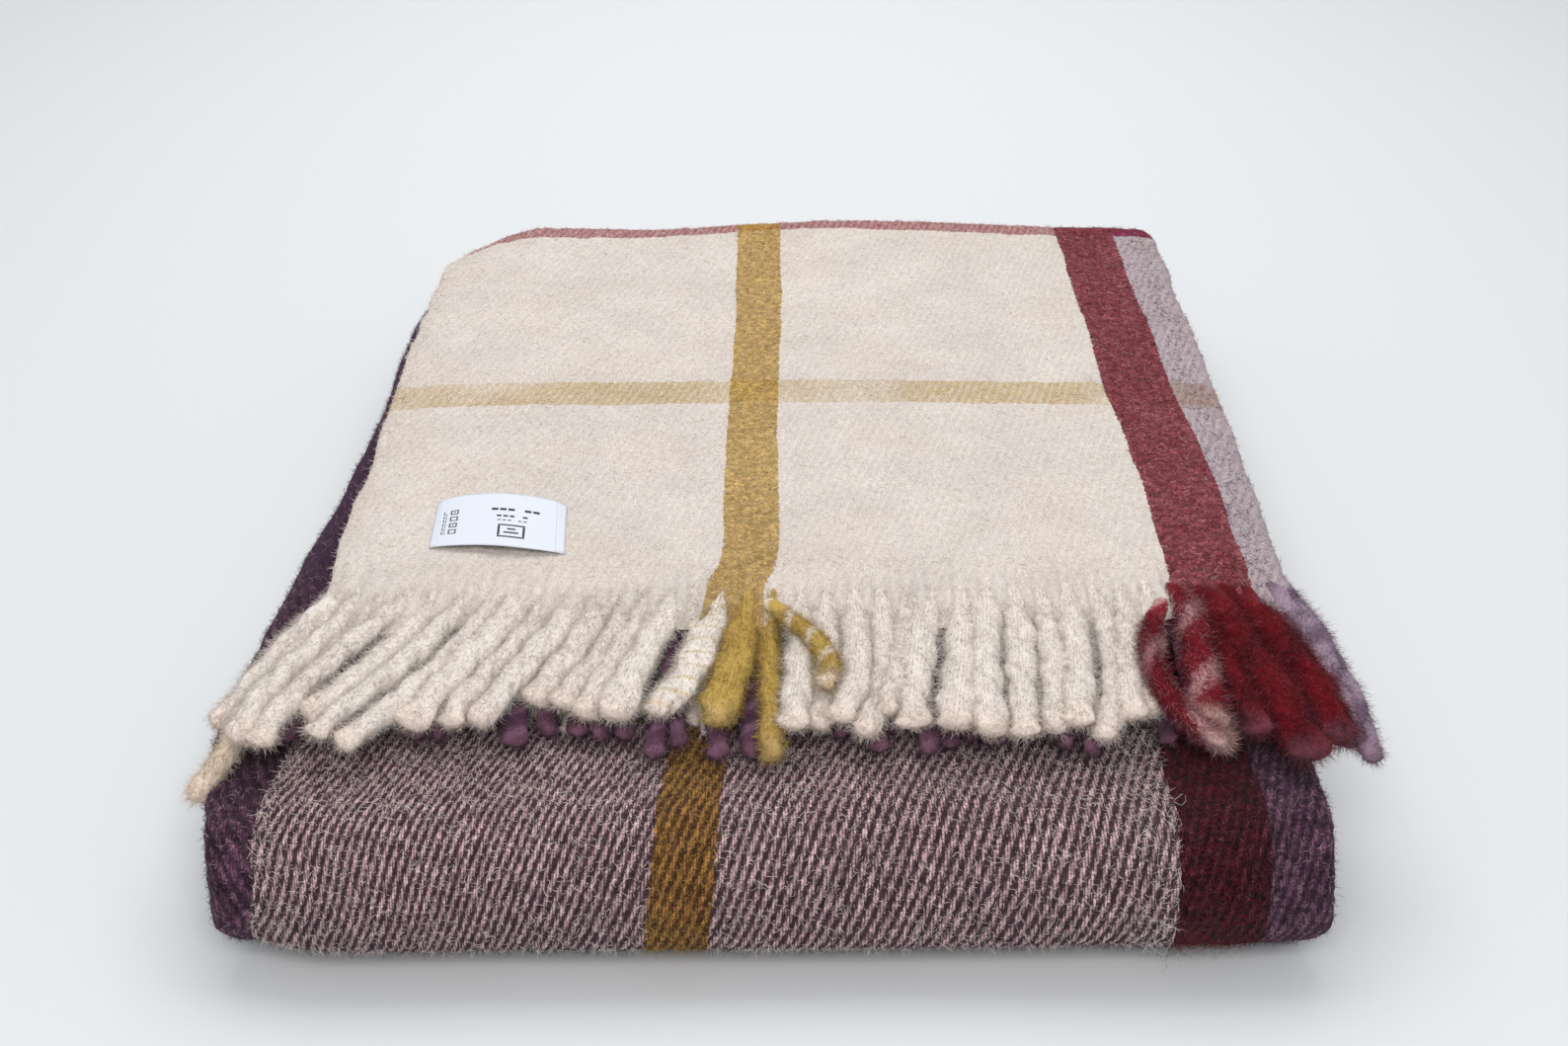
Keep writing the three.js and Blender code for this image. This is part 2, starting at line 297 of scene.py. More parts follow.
def settle(x, y, z):
    """The stack's soft unevenness: every ply moves together, so none cuts another."""
    height = np.clip(z / 84, 0, 1.1)
    front = smooth(-150, -270, y)
    rear = smooth(170, 285, y)
    side = np.clip(np.abs(x) / 213, 0, 1.2)
    lift = height * (1.3 * fractal(x / 120 + 3, y / 140, 1, 2) - 2.4 * side ** 8)
    lift = lift + height * rear * (3.6 * hump(x, 38, 60) - 2.2 * hump(x, -60, 45) - 1.0)
    lift = lift - height * rear * 9.0 * smooth(-130, -200, x)
    pulled = smooth(205, 290, y) * smooth(-125, -195, x)
    lift = lift - height * 7.0 * pulled
    lift = lift + height * front * (1.5 * noise(x / 95, y / 200, 5) + 2.0 * x / 213)
    out = side ** 3 * np.sign(x) * (1.8 * noise(y / 70, z / 26, 8) + 0.9 * noise(y / 26, z / 15, 9))
    ends = smooth(150, 214, np.abs(x)) * np.sign(x)
    corner = -9.0 * ends * smooth(26, 2, z) * front
    fore = -front * 2.2 * noise(x / 110, z / 55, 12) * smooth(2, 30, z)
    fore = fore + front * 5.5 * smooth(165, 216, np.abs(x)) * (1 - 0.4 * smooth(0, 200, x))
    fore = fore + front * 5.0 * smooth(22, 3, z)
    back = rear * 2.5 * noise(x / 80, z / 40, 15)
    return x + out + corner + 13.0 * pulled, y + fore + back, np.maximum(z + lift, BASE + 0.2)


def ply_wander(u, v):
    """Small sideways and upward drift of each ply's edges, in millimetres."""
    edge = smooth(60, 0, u)
    sideways = 2.0 * noise(v / 45, 0.3, 21) * edge + 1.1 * noise(v / 90, u / 200, 22)
    sideways = sideways + 0.8 * edge * noise(v / 12, 0.6, 24)
    droop = -1.6 * smooth(22, 0, u)
    curl = droop + 1.0 * smooth(25, 0, u) * noise(v / 35, 0.7, 23)
    return sideways, curl


# Each tassel's lean to the right and its reach forward, from the selvedge on.
TASSEL_FALL = [
    (-25, 77), (-32, 93), (-36, 94), (-40, 70), (-45, 72), (-50, 91), (-50, 94), (-38, 82), (-35, 80),
    (-33, 81), (-28, 64), (-27, 71), (-28, 75), (-26, 79), (-23, 75), (-12, 82), (-1, 101), (-3, 89),
    (-6, 83), (-9, 82), (-10, 89), (-13, 80), (-14, 84), (-10, 89), (-5, 92), (-5, 92), (-6, 89),
    (-9, 87), (-9, 93), (-9, 84), (-10, 80), (2, 88), (5, 93), (13, 92), (14, 82), (11, 96),
]


# Tassels that are wide or narrow in the photo; the others' widths are drawn.
TASSEL_WIDTH = {13: 13.8, 14: 14.0, 15: 13.6, 16: 8.2, 22: 13.6, 23: 13.8}


def web(u):
    """How far the cloth runs on between the tassels, past the fringed end, in millimetres."""
    return 20 + 9 * noise(u / 13, 0.4, 61)


def ridges(u, v):
    """Low ridges where the tassels grow out of the weave of the ply that shows."""
    pitch = (FIRST_FOLD - 4) / TASSELS
    start = 36 + 12 * noise(u / 19, 0.8, 62)
    crown = 0.5 + 0.5 * np.cos(2 * math.pi * ((u - 2) / pitch - 0.5))
    grown = smooth(1, 0, v / start) * (u < FIRST_FOLD)
    return grown * (3.4 * crown - 2.3)


def folded(u, v, lift):
    """The folded cloth at u across and v along, lifted off its middle to the outer side."""
    x, n, nx, nn = across(u, v)
    y, z, turn = along(v)
    beyond = -np.minimum(v, 0) * web(u) / WEB
    y = y - beyond
    leans = [lean for lean, _ in TASSEL_FALL]
    fall = np.interp(u, (np.arange(TASSELS) + 0.5) * (FIRST_FOLD - 4) / TASSELS + 2, leans)
    x = x + fall * (beyond / 90) ** 1.5
    sideways, curl = ply_wander(u, v)
    x = x + sideways + lift * nx
    n = n + curl + lift * nn
    x, y, z = settle(x, y + n * np.cos(turn), z + n * np.sin(turn))
    return np.stack([x, y, z], -1)


def stripe_place(u, v):
    """Where a point lies in the weave: a fold's outer plies are longer, and stripes drift."""
    _, n, _, _ = across(u, v)
    turn = along(v)[2]
    front = smooth(V_FRONT - 60, V_FRONT, v) * smooth(V_FRONT_END + 150, V_FRONT_END + 40, v)
    down = smooth(V_FRONT_END, V_FRONT, v)
    slide = (13 + 7 * down) * smooth(0, 130, u) * (1 - 0.5 * smooth(190, 350, u))
    hem = 6 * smooth(34, 0, v) * hump(u, 178, 60)
    drift = 1.6 * noise(v / 85, u / 260, 31) + 0.7 * noise(v / 24, u / 60, 32)
    sag = 2.6 * noise(u / 130, v / 300, 34) + 0.9 * noise(u / 36, v / 60, 35)
    longer = (n + 1.5) * (math.pi / 2 - turn)
    back = 8 * smooth(70, 340, v) * smooth(V_REAR_END, V_REAR, v) * hump(u, 385, 75)
    return u + front * slide + hem + drift + back, v + longer + sag


# 2/2 twill: four ends and four picks to the repeat.
END_PITCH = 1.0
TWILL_ACROSS = 4 * END_PITCH
TWILL_ALONG = 13.2


def relief(u, v, nap):
    """Height of the woven and brushed surface, in millimetres."""
    ribs = np.sin(2 * math.pi * (v / TWILL_ALONG - u / TWILL_ACROSS))
    tufts = 0.2 * fractal(u / 2.4, v / 3.0, 41, 2) + 0.3 * fractal(u / 9, v / 9, 43, 2) * (0.4 + nap)
    return ribs * (0.3 - 0.27 * nap) + tufts


def surface(u, v, side=1):
    """The cloth's outer or inner surface with its relief, and its place in the weave."""
    su, sv = stripe_place(u, v)
    naps = nap_at(u, v)
    hem = v + WEB if side > 0 else v
    edge = np.minimum(np.minimum(u, CLOTH_WIDTH - u), np.minimum(hem, CLOTH_LENGTH - v))
    half = CLOTH_THICKNESS / 2
    rim = np.sqrt(np.clip(1 - np.clip(1 - (edge + 0.01) / half, 0, None) ** 2, 0, 1))
    bare = half + relief(su, sv, naps) - 1.2 * smooth(0, -WEB, v)
    lift = side * bare + (ridges(u, v) if side > 0 else 0)
    return folded(u, v, lift * (0.04 + 0.96 * rim)), np.stack([su * MM, sv * MM, naps], -1)


def nap_at(u, v):
    """1 where the cloth is brushed, less on the front fold, where the twill shows."""
    clear = smooth(V_REAR, V_REAR_END, v) * smooth(V_FRONT_END + 200, V_FRONT_END + 150, v)
    return 0.93 - 0.73 * clear + 0 * u


def strided(values, stride):
    """Every stride-th value, and always the last."""
    picked = list(range(0, len(values), stride))
    if picked[-1] != len(values) - 1:
        picked.append(len(values) - 1)
    return picked


def border(rows, columns):
    """Places round a grid's edge, once round."""
    top = [(0, c) for c in range(columns - 1)]
    right = [(r, columns - 1) for r in range(rows - 1)]
    bottom = [(rows - 1, c) for c in range(columns - 1, 0, -1)]
    left = [(r, 0) for r in range(rows - 1, 0, -1)]
    return top + right + bottom + left


def rim_faces(ring, columns, place, shown):
    """Faces from the fine border to the coarse one, one to each coarse step."""
    faces = []
    marks = [i for i, at in enumerate(ring) if at in place]
    for i, start in enumerate(marks):
        stop = marks[(i + 1) % len(marks)]
        span = ring[start:stop + 1] if stop > start else ring[start:] + ring[:stop + 1]
        face = [r * columns + c for r, c in reversed(span)]
        face += [place[span[0]], place[span[-1]]]
        faces.append(np.array([face if shown > 0 else face[::-1]]))
    return faces


def cloth_piece(name, u, v, material, shown=1, stride=4):
    """A closed stretch of the cloth. The side that doesn't show has a coarser grid."""
    fine, fine_weave = surface(*np.meshgrid(u, v), shown)
    keep_u, keep_v = strided(u, stride), strided(v, stride)
    coarse, coarse_weave = surface(*np.meshgrid(u[keep_u], v[keep_v]), -shown)
    columns, rows = len(u), len(v)
    first = columns * rows
    quads = grid_faces(rows, columns)
    under = grid_faces(len(keep_v), len(keep_u), start=first)[:, ::-1]
    if shown < 0:
        quads, under = quads[:, ::-1], under[:, ::-1]
    place = {(r, c): first + i * len(keep_u) + j
             for i, r in enumerate(keep_v) for j, c in enumerate(keep_u)}
    faces = [quads, under] + rim_faces(border(rows, columns), columns, place, shown)
    points = placed(np.concatenate([fine.reshape(-1, 3), coarse.reshape(-1, 3)]))
    weave = np.concatenate([fine_weave.reshape(-1, 3), coarse_weave.reshape(-1, 3)])
    made = mesh_object(name, points, faces, material, [("weave", weave)])
    rounded = np.arange(len(made.data.polygons)) < len(quads) + len(under)
    made.data.polygons.foreach_set("use_smooth", rounded)
    return finished(made, "wool_plaid", "cloth")


def spaced(low, high, step):
    return np.linspace(low, high, max(2, int(round((high - low) / step)) + 1))


def dense_where(low, high, stretches, fine, coarse):
    """Values from low to high, close together inside the given stretches."""
    marks = sorted({low, high, *[m for s in stretches for m in s if low < m < high]})
    values = [np.array([low])]
    for a, b in zip(marks[:-1], marks[1:]):
        inside = any(s[0] <= (a + b) / 2 <= s[1] for s in stretches)
        values.append(spaced(a, b, fine if inside else coarse)[1:])
    return np.concatenate(values)


def inner_rows(low):
    inner = CLOTH_LENGTH - (INNER_FOLD_Y - HIDDEN_HEM_Y) - 50
    folds = [(0, 12), (V_REAR - 10, V_REAR_END + 10), (V_FRONT - 10, V_FRONT_END + 10),
             (inner, inner + 60), (CLOTH_LENGTH - 12, CLOTH_LENGTH)]
    return dense_where(low, CLOTH_LENGTH, folds, 2.2, 7.0)


def inner_columns(low):
    folds = [(SECOND_FOLD - 22, THIRD_START + 8), (CLOTH_WIDTH - 12, CLOTH_WIDTH)]
    return dense_where(low, CLOTH_WIDTH, folds, 1.3, 11.0)


OUTER_U = SECOND_START + 22


def make_cloth(material):
    """The cloth's stretches, cut where no one sees the join."""
    top_end, under_end = V_REAR + 14, V_FRONT - 12
    front_end, fringe_end = V_FRONT_END + 22, V_FRONT_END + 170
    outer = spaced(0, OUTER_U, 1.35)
    rough = spaced(0, OUTER_U, 3.2)
    layout = {
        "cloth_top": (spaced(0, OUTER_U, 1.36), spaced(-WEB, top_end, 1.58)),
        "cloth_rear_fold": (spaced(0, OUTER_U, 1.36), spaced(top_end, V_REAR_END + 6, 1.6)),
        "cloth_underside": (rough, spaced(V_REAR_END + 6, under_end, 5.0)),
        "cloth_front_fold": (spaced(0, OUTER_U, 0.84), spaced(under_end, front_end, 0.72)),
        "cloth_under_fringe": (outer, spaced(front_end, fringe_end, 2.0)),
        "cloth_inner_quarters": (rough, inner_rows(fringe_end)),
        "cloth_inner_plies": (inner_columns(OUTER_U), inner_rows(0)),
    }
    made = {}
    for name, (u, v) in layout.items():
        inner = name == "cloth_inner_plies"
        piece = cloth_piece(name, u, v, material, -1 if inner else 1, 1 if inner else 4)
        made[name] = (piece, ((u[-1] - u[0]) * MM, (v[-1] - v[0]) * MM))
    return made


# ---- loose fibres on the cloth ---------------------------------------------


def nap_piece(name, u_range, v_range, count, length, lean, seed, material, side=1,
              radius=0.06, curl=0.5, segments=3):
    """Fibres that stand out of a stretch of the cloth, in the colours of its yarns."""
    rng = np.random.RandomState(seed)
    u = rng.uniform(*u_range, count)
    v = rng.uniform(*v_range, count)
    root, weave = surface(u, v, side)
    step = 0.5
    along_u = unit(surface(u + step, v, side)[0] - root)
    along_v = unit(surface(u, v + step, side)[0] - root)
    out = unit(folded(u, v, side * 6.0) - folded(u, v, side * 2.0))
    turn = rng.uniform(0, 2 * math.pi, count)[:, None]
    flat = along_u * np.cos(turn) + along_v * np.sin(turn)
    rise = rng.uniform(lean[0], lean[1], count)[:, None]
    ways = unit(flat + out * rise)
    lengths = rng.uniform(length[0], length[1], count)
    points, faces, per = fibres(root, ways, lengths, radius, curl, rng, segments)
    weave[:, 2] = rng.uniform(0, 1, count)
    points[:, 2] = np.maximum(points[:, 2], BASE + 0.3)
    made = mesh_object(name, placed(points), faces, material, [("weave", np.repeat(weave, per, 0))])
    return finished(made, "wool_plaid", "cloth")


def make_nap(material):
    made = []
    front = (V_FRONT - 10, V_FRONT_END + 60)
    top = (2, V_REAR + 40)
    side_u = (FIRST_FOLD - 12, SECOND_START + 8)
    left_u = (SECOND_FOLD - 16, THIRD_START + 4)
    rows = [  # name, u, v, count, length, lean, side, radius, curl, segments
        ("nap_top_a", (1, FIRST_FOLD), (18, 215), 19500, (1.6, 4.4), (0.1, 0.7), 1, 0.10, 0.7, 2),
        ("nap_top_b", (1, FIRST_FOLD), (215, V_REAR + 10), 16000, (1.6, 4.4), (0.1, 0.7), 1, 0.11, 0.7, 2),
        ("nap_hem", (1, FIRST_FOLD), (-11, 30), 3600, (2, 6.0), (0.1, 0.8), 1, 0.09, 0.7, 3),
        ("nap_web", (1, FIRST_FOLD), (-11.8, -7), 3400, (2.5, 8), (0.5, 1.6), 1, 0.09, 0.7, 3),
        ("nap_rear", (1, FIRST_FOLD), (V_REAR + 5, V_FRONT), 8000, (2, 5), (0.2, 0.9), 1, 0.11, 0.6, 2),
        ("nap_front_a", (1, SECOND_START), front, 12400, (2, 5.0), (0.2, 1.0), 1, 0.085, 0.7, 3),
        ("nap_front_b", (1, SECOND_START), front, 12400, (2, 6.5), (0.2, 1.0), 1, 0.085, 0.8, 3),
        ("nap_right", side_u, (2, V_FRONT_END + 160), 8000, (2, 5), (0.2, 0.9), 1, 0.1, 0.6, 2),
        ("nap_left", left_u, (V_FRONT - 60, V_FRONT_END + 500), 12000, (2, 5), (0.2, 0.9), -1, 0.1, 0.6, 2),
        ("nap_selvedge", (0.3, 7), (0, CLOTH_LENGTH), 8000, (2, 5), (0.1, 0.9), 1, 0.1, 0.6, 2),
        ("nap_burgundy", (334, 374), front, 900, (6, 15), (0.3, 1.0), 1, 0.09, 0.8, 7),
        ("nap_strays", (1, FIRST_FOLD), (-8, V_REAR), 900, (5, 12), (0.2, 0.9), 1, 0.07, 0.8, 6),
    ]
    for k, (name, u, v, count, length, lean, side, radius, curl, segments) in enumerate(rows):
        made.append(nap_piece(name, u, v, count, length, lean, 101 + k, material, side, radius, curl,
                              segments))
    return made


# ---- materials -------------------------------------------------------------

CREAM = (0.76, 0.69, 0.63, 1)
CREAM_WEFT = (0.75, 0.68, 0.62, 1)
MUSTARD = (0.565, 0.372, 0.06, 1)
MUSTARD_WEFT = (0.5, 0.33, 0.07, 1)
BURGUNDY = (0.19, 0.008, 0.017, 1)
BURGUNDY_WEFT = (0.27, 0.015, 0.03, 1)
PURPLE = (0.085, 0.036, 0.08, 1)
PURPLE_WEFT = (0.052, 0.026, 0.046, 1)


class Nodes:
    """Short names for making a material's nodes."""

    def __init__(self, name):
        self.material = bpy.data.materials.new(name)
        self.material.use_nodes = True
        self.tree = self.material.node_tree
        self.shader = self.tree.nodes["Principled BSDF"]

    def make(self, kind, inputs=(), **settings):
        node = self.tree.nodes.new("ShaderNode" + kind)
        for key, value in settings.items():
            setattr(node, key, value)
        for key, value in dict(inputs).items():
            self.put(node.inputs[key], value)
        return node

    def put(self, socket, value):
        if isinstance(value, bpy.types.NodeSocket):
            self.tree.links.new(value, socket)
        else:
            socket.default_value = value

    def math(self, operation, a, b=0.0, c=0.0):
        node = self.make("Math", {0: a, 1: b}, operation=operation)
        if operation == "MULTIPLY_ADD":
            self.put(node.inputs[2], c)
        return node.outputs[0]

    def add(self, a, b):
        return self.math("ADD", a, b)

    def minus(self, a, b):
        return self.math("SUBTRACT", a, b)

    def times(self, a, b):
        return self.math("MULTIPLY", a, b)

    def about(self, value, amount):
        """A value from 0 to 1, as a swing about 0."""
        return self.math("MULTIPLY_ADD", value, amount, -amount / 2)

    def ranged(self, value, low, high, to_low=0.0, to_high=1.0):
        node = self.make("MapRange", {0: value, 1: low, 2: high, 3: to_low, 4: to_high},
                         interpolation_type="SMOOTHSTEP")
        return node.outputs[0]

    def mix(self, factor, a, b, blend="MIX"):
        node = self.make("Mix", data_type="RGBA", blend_type=blend)
        for socket, value in zip((node.inputs[0], node.inputs[6], node.inputs[7]), (factor, a, b)):
            self.put(socket, value)
        return node.outputs[2]

    def noise(self, vector, scale, detail=2.0, roughness=0.5, distortion=0.0):
        node = self.make("TexNoise", {"Vector": vector, "Scale": scale, "Detail": detail,
                                      "Roughness": roughness, "Distortion": distortion})
        return node.outputs[0]

    def shaded(self, colour, tone):
        grey = self.make("CombineXYZ", {0: tone, 1: tone, 2: tone}).outputs[0]
        return self.mix(1.0, colour, grey, "MULTIPLY")

    def stripes(self, value, stops):
        """A colour ramp with flat stripes: each stop is where a colour starts, from 0 to 1."""
        ramp = self.make("ValToRGB", {0: value})
        elements = ramp.color_ramp.elements
        ramp.color_ramp.interpolation = "CONSTANT"
        elements[0].position, elements[0].color = stops[0]
        elements[1].position, elements[1].color = stops[1]
        for position, colour in stops[2:]:
            elements.new(position).color = colour
        return ramp.outputs[0]

    def finish(self, colour, roughness=0.95, sheen=0.0, specular=0.15):
        self.put(self.shader.inputs["Base Color"], colour)
        self.shader.inputs["Roughness"].default_value = roughness
        self.shader.inputs["Specular IOR Level"].default_value = specular
        self.shader.inputs["Sheen Weight"].default_value = sheen
        self.shader.inputs["Sheen Roughness"].default_value = 0.5
        return self.material

    def bump(self, height, strength, distance):
        made = self.make("Bump", {"Strength": strength, "Distance": distance, "Height": height})
        self.put(self.shader.inputs["Normal"], made.outputs[0])


WARP_STRIPES = [  # millimetres from the selvedge that shows
    (0, CREAM), (166, MUSTARD), (190, CREAM), (353.5, BURGUNDY), (387, PURPLE),
    (863, BURGUNDY), (896.5, CREAM), (1060, MUSTARD), (1084, CREAM),
]
COVER = {CREAM: 0.0, PURPLE: 0.0, MUSTARD: 0.76, BURGUNDY: 1.0}


def weft_stripes():
    """Millimetres from the fringed end that shows: a square plaid along the length too."""
    turn = V_REAR - 9
    return [
        (0, CREAM_WEFT), (174, MUSTARD_WEFT), (198, CREAM_WEFT), (turn, BURGUNDY_WEFT),
        (turn + 34, PURPLE_WEFT), (turn + 1210, BURGUNDY_WEFT), (turn + 1244, CREAM_WEFT),
        (turn + 1432, MUSTARD_WEFT), (turn + 1456, CREAM_WEFT),
    ]


def scaled(stops, length):
    return [(at / length, colour) for at, colour in stops]


def yarn_colours(n, u, v):
    """The warp's and the weft's colour at a place, and how far the warp hides the weft."""
    width, length = CLOTH_WIDTH, CLOTH_LENGTH + 130
    across_share = n.times(u, 1 / (width * MM))
    warp = n.stripes(across_share, scaled(WARP_STRIPES, width))
    weft = n.stripes(n.times(v, 1 / (length * MM)), scaled(weft_stripes(), length))
    covers = [(at, (COVER[c],) * 3 + (1,)) for at, c in WARP_STRIPES]
    return warp, weft, n.stripes(across_share, scaled(covers, width))


def wool_plaid():
    """Brushed 2/2 twill: warp stripes across, weft stripes along, and loose fibres."""
    n = Nodes("wool_plaid")
    parts = n.make("SeparateXYZ", {0: n.make("Attribute", attribute_name="weave").outputs["Vector"]})
    place = n.make("TexCoord").outputs["Object"]
    nap = parts.outputs[2]
    wisp = n.noise(place, 620.0, 3.0, 0.6, 2.2)
    fine = n.noise(place, 2100.0, 2.0, 0.6, 1.0)
    fray = n.noise(place, 420.0, 3.0)
    u = n.add(parts.outputs[0], n.add(n.about(fray, 0.0026), n.about(wisp, 0.0014)))
    v = n.add(parts.outputs[1], n.add(n.about(fray, -0.003), n.about(wisp, 0.004)))
    warp, weft, cover = yarn_colours(n, u, v)
    violet = n.times(n.math("GREATER_THAN", u, 0.387), n.math("LESS_THAN", u, 0.863))
    violet = n.times(violet, n.minus(1.0, cover))
    over_cream = n.times(n.times(violet, nap), n.math("LESS_THAN", v, MM * V_REAR))
    warp = n.mix(over_cream, warp, (0.13, 0.035, 0.17, 1))
    fade = n.ranged(n.noise(place, 11.0, 2.0), 0.38, 0.62, 0.0, 0.62)
    weft = n.mix(n.times(fade, n.math("LESS_THAN", n.math("ABSOLUTE", n.minus(v, 0.186)), 0.014)),
                 weft, CREAM_WEFT)
    raw, yarn = twill_nodes(n, parts.outputs[0], parts.outputs[1], wisp)
    mask = n.add(n.add(raw, n.about(yarn, 0.5)), n.add(n.about(wisp, 1.5), n.about(fine, 0.6)))
    clear = n.ranged(mask, 0.4, 1.12)
    brushed = n.ranged(n.add(n.about(mask, 0.1), 0.48), 0.0, 1.0)
    dark_weft = n.math("LESS_THAN", weft_value(n, weft), 0.2)
    brushed = n.times(brushed, n.math("MULTIPLY_ADD", dark_weft, -0.4, 1.0))
    front = n.minus(1.0, nap)
    open_weave = n.minus(1.0, cover)
    shows = n.add(n.times(clear, front), n.times(brushed, nap))
    held = n.times(cover, n.math("MULTIPLY_ADD", nap, 0.3, 0.66))
    shows = n.math("MULTIPLY_ADD", n.minus(1.0, shows), held, shows)
    # Painted shade: on the front fold each warp colour is multiplied darker, burgundy most, so the same yarn
    # shows darker there than on top.
    front_shade_tint = n.mix(n.math("POWER", cover, 3.0), (0.8, 0.66, 0.73, 1), (0.1, 0.06, 0.09, 1))
    shaded_warp = n.mix(n.times(front, 1.2), warp, front_shade_tint, "MULTIPLY")
    colour = n.mix(shows, weft, shaded_warp)
    drift = n.ranged(n.noise(place, 60.0, 3.0, 0.6), 0.35, 0.7, 0.0, 0.3)
    veil = n.add(n.ranged(n.add(wisp, n.about(fine, 0.6)), 0.3, 0.85, 0.36, 0.0), drift)
    veil = n.times(n.times(veil, front), n.math("MULTIPLY_ADD", open_weave, 0.92, 0.08))
    colour = n.mix(veil, colour, n.mix(0.5, weft, n.mix(0.3, (0.12, 0.06, 0.085, 1), warp)))
    web_of_hair = n.math("ABSOLUTE", n.minus(n.noise(place, 330.0, 2.0, 0.5, 4.0), 0.5))
    hair = n.ranged(web_of_hair, 0.055, 0.0)
    few = n.times(front, n.math("MULTIPLY_ADD", cover, -0.2, 0.22))
    hair = n.times(hair, n.add(n.times(cover, n.times(nap, 0.9)), few))
    colour = n.mix(hair, colour, n.mix(0.4, (0.6, 0.26, 0.31, 1), warp))
    fluff = n.ranged(n.noise(place, 190.0, 3.0, 0.65, 1.5), 0.47, 0.64, 0.0, 0.5)
    fluff = n.times(fluff, n.times(nap, n.math("POWER", cover, 3.0)))
    colour = n.mix(fluff, colour, (0.42, 0.15, 0.18, 1))
    deep = n.ranged(n.noise(place, 560.0, 3.0, 0.65, 2.0), 0.4, 0.62, 0.4, 1.25)
    patchy = n.ranged(n.noise(place, 300.0, 3.0, 0.6, 1.0), 0.35, 0.66, 0.3, 1.5)
    dark_yarn = n.add(n.times(front, 0.8), n.times(cover, n.times(nap, 0.6)))
    colour = n.mix(dark_yarn, colour, n.shaded(colour, n.times(deep, patchy)))
    haze = n.ranged(n.noise(place, 430.0, 3.0, 0.6, 2.0), 0.46, 0.62)
    plain = n.times(front, n.math("MULTIPLY_ADD", violet, 0.8, 0.15))
    haze = n.times(haze, n.times(n.times(plain, 0.55), open_weave))
    colour = n.mix(haze, colour, (0.2, 0.135, 0.17, 1))
    speck = n.ranged(n.noise(place, 900.0, 2.0, 0.6, 6.0), 0.54, 0.64)
    colour = n.mix(n.times(speck, n.times(plain, 0.36)), colour, n.mix(0.3, (0.42, 0.32, 0.37, 1), warp))
    # Painted shade: the front fold is multiplied darker and redder towards its bottom edge, where it turns
    # under towards the floor.
    low = n.times(front, n.ranged(v, 0.001 * (V_FRONT + 20), 0.001 * (V_FRONT_END - 10)))
    colour = n.mix(low, colour, (0.9, 0.78, 0.8, 1), "MULTIPLY")
    worn = n.ranged(n.noise(place, 150.0, 3.0, 0.6, 1.2), 0.38, 0.62, 0.5, 1.5)
    band = n.times(front, n.times(violet, dark_weft))
    colour = n.mix(band, colour, n.shaded(colour, worn))
    # Painted shade and highlight on the front fold: the tone is darker between the warp floats and lighter
    # on them.
    painted_twill_shade = n.math("MULTIPLY_ADD", front, n.about(clear, 1.15), 1.0)
    tone = n.times(n.ranged(fine, 0.25, 0.75, 0.76, 1.16), n.ranged(wisp, 0.3, 0.7, 0.88, 1.09))
    slow = n.ranged(n.noise(place, 26.0, 3.0), 0.3, 0.7, 0.95, 1.04)
    colour = n.shaded(colour, n.times(n.times(tone, painted_twill_shade), slow))
    warmth = n.ranged(n.noise(place, 15.0, 2.0), 0.45, 0.7, 0.0, 0.14)
    colour = n.mix(warmth, colour, (0.97, 0.8, 0.68, 1), "MULTIPLY")
    height = n.add(n.times(raw, n.math("MULTIPLY_ADD", nap, -0.35, 0.5)), n.times(fine, 0.5))
    height = n.add(height, n.add(n.times(wisp, 0.5), n.times(yarn, 0.12)))
    n.bump(height, 0.6, 0.0011)
    return n.finish(colour, 0.95, 0.04, 0.06)


def weft_value(n, weft):
    """The brightness of the weft, to tell a pale weft from a dark one."""
    return n.make("RGBToBW", {0: weft}).outputs[0]


def twill_nodes(n, u, v, wisp):
    """Floats of each warp end, stepped from end to end, and the roundness of each end."""
    end = n.times(u, 1 / (END_PITCH * MM))
    cell = n.math("FLOOR", end)
    across_end = n.minus(end, cell)
    chance = n.make("TexWhiteNoise", {"W": cell}, noise_dimensions="1D").outputs[0]
    stepped = n.add(n.times(cell, 0.25), n.about(chance, 0.16))
    phase = n.minus(n.times(v, 1 / (TWILL_ALONG * MM)), n.add(stepped, 0.125))
    phase = n.add(phase, n.about(wisp, 0.25))
    wave = n.math("SINE", n.times(phase, 2 * math.pi))
    yarn = n.math("SINE", n.times(across_end, math.pi))
    return n.math("MULTIPLY_ADD", wave, 0.5, 0.5), yarn


def wool_fibre():
    """Single fibres on the cloth, each pulled from the warp or the weft below it."""
    n = Nodes("wool_fibre")
    parts = n.make("SeparateXYZ", {0: n.make("Attribute", attribute_name="weave").outputs["Vector"]})
    pick = parts.outputs[2]
    warp, weft, cover = yarn_colours(n, parts.outputs[0], parts.outputs[1])
    from_warp = n.math("GREATER_THAN", n.add(pick, n.times(cover, 0.4)), 0.45)
    colour = n.mix(from_warp, weft, warp)
    pale = n.math("GREATER_THAN", pick, 0.9)
    colour = n.mix(n.times(pale, n.math("MULTIPLY_ADD", cover, -0.42, 0.5)), colour, (0.78, 0.62, 0.62, 1))
    place = n.make("TexCoord").outputs["Object"]
    # Painted light: the fibres' colour is scaled, brighter on cream yarn than elsewhere, to offset the
    # fibres' own shadow; the noise after it is random tone.
    painted_lift_and_tone = n.math("MULTIPLY_ADD", n.math("GREATER_THAN", 0.05, cover), 0.32, 0.8)
    painted_lift_and_tone = n.times(painted_lift_and_tone, n.ranged(n.noise(place, 300.0, 2.0), 0.3, 0.7, 1.0, 1.2))
    colour = n.shaded(colour, painted_lift_and_tone)
    return n.finish(colour, 0.8, 0.05, 0.1)


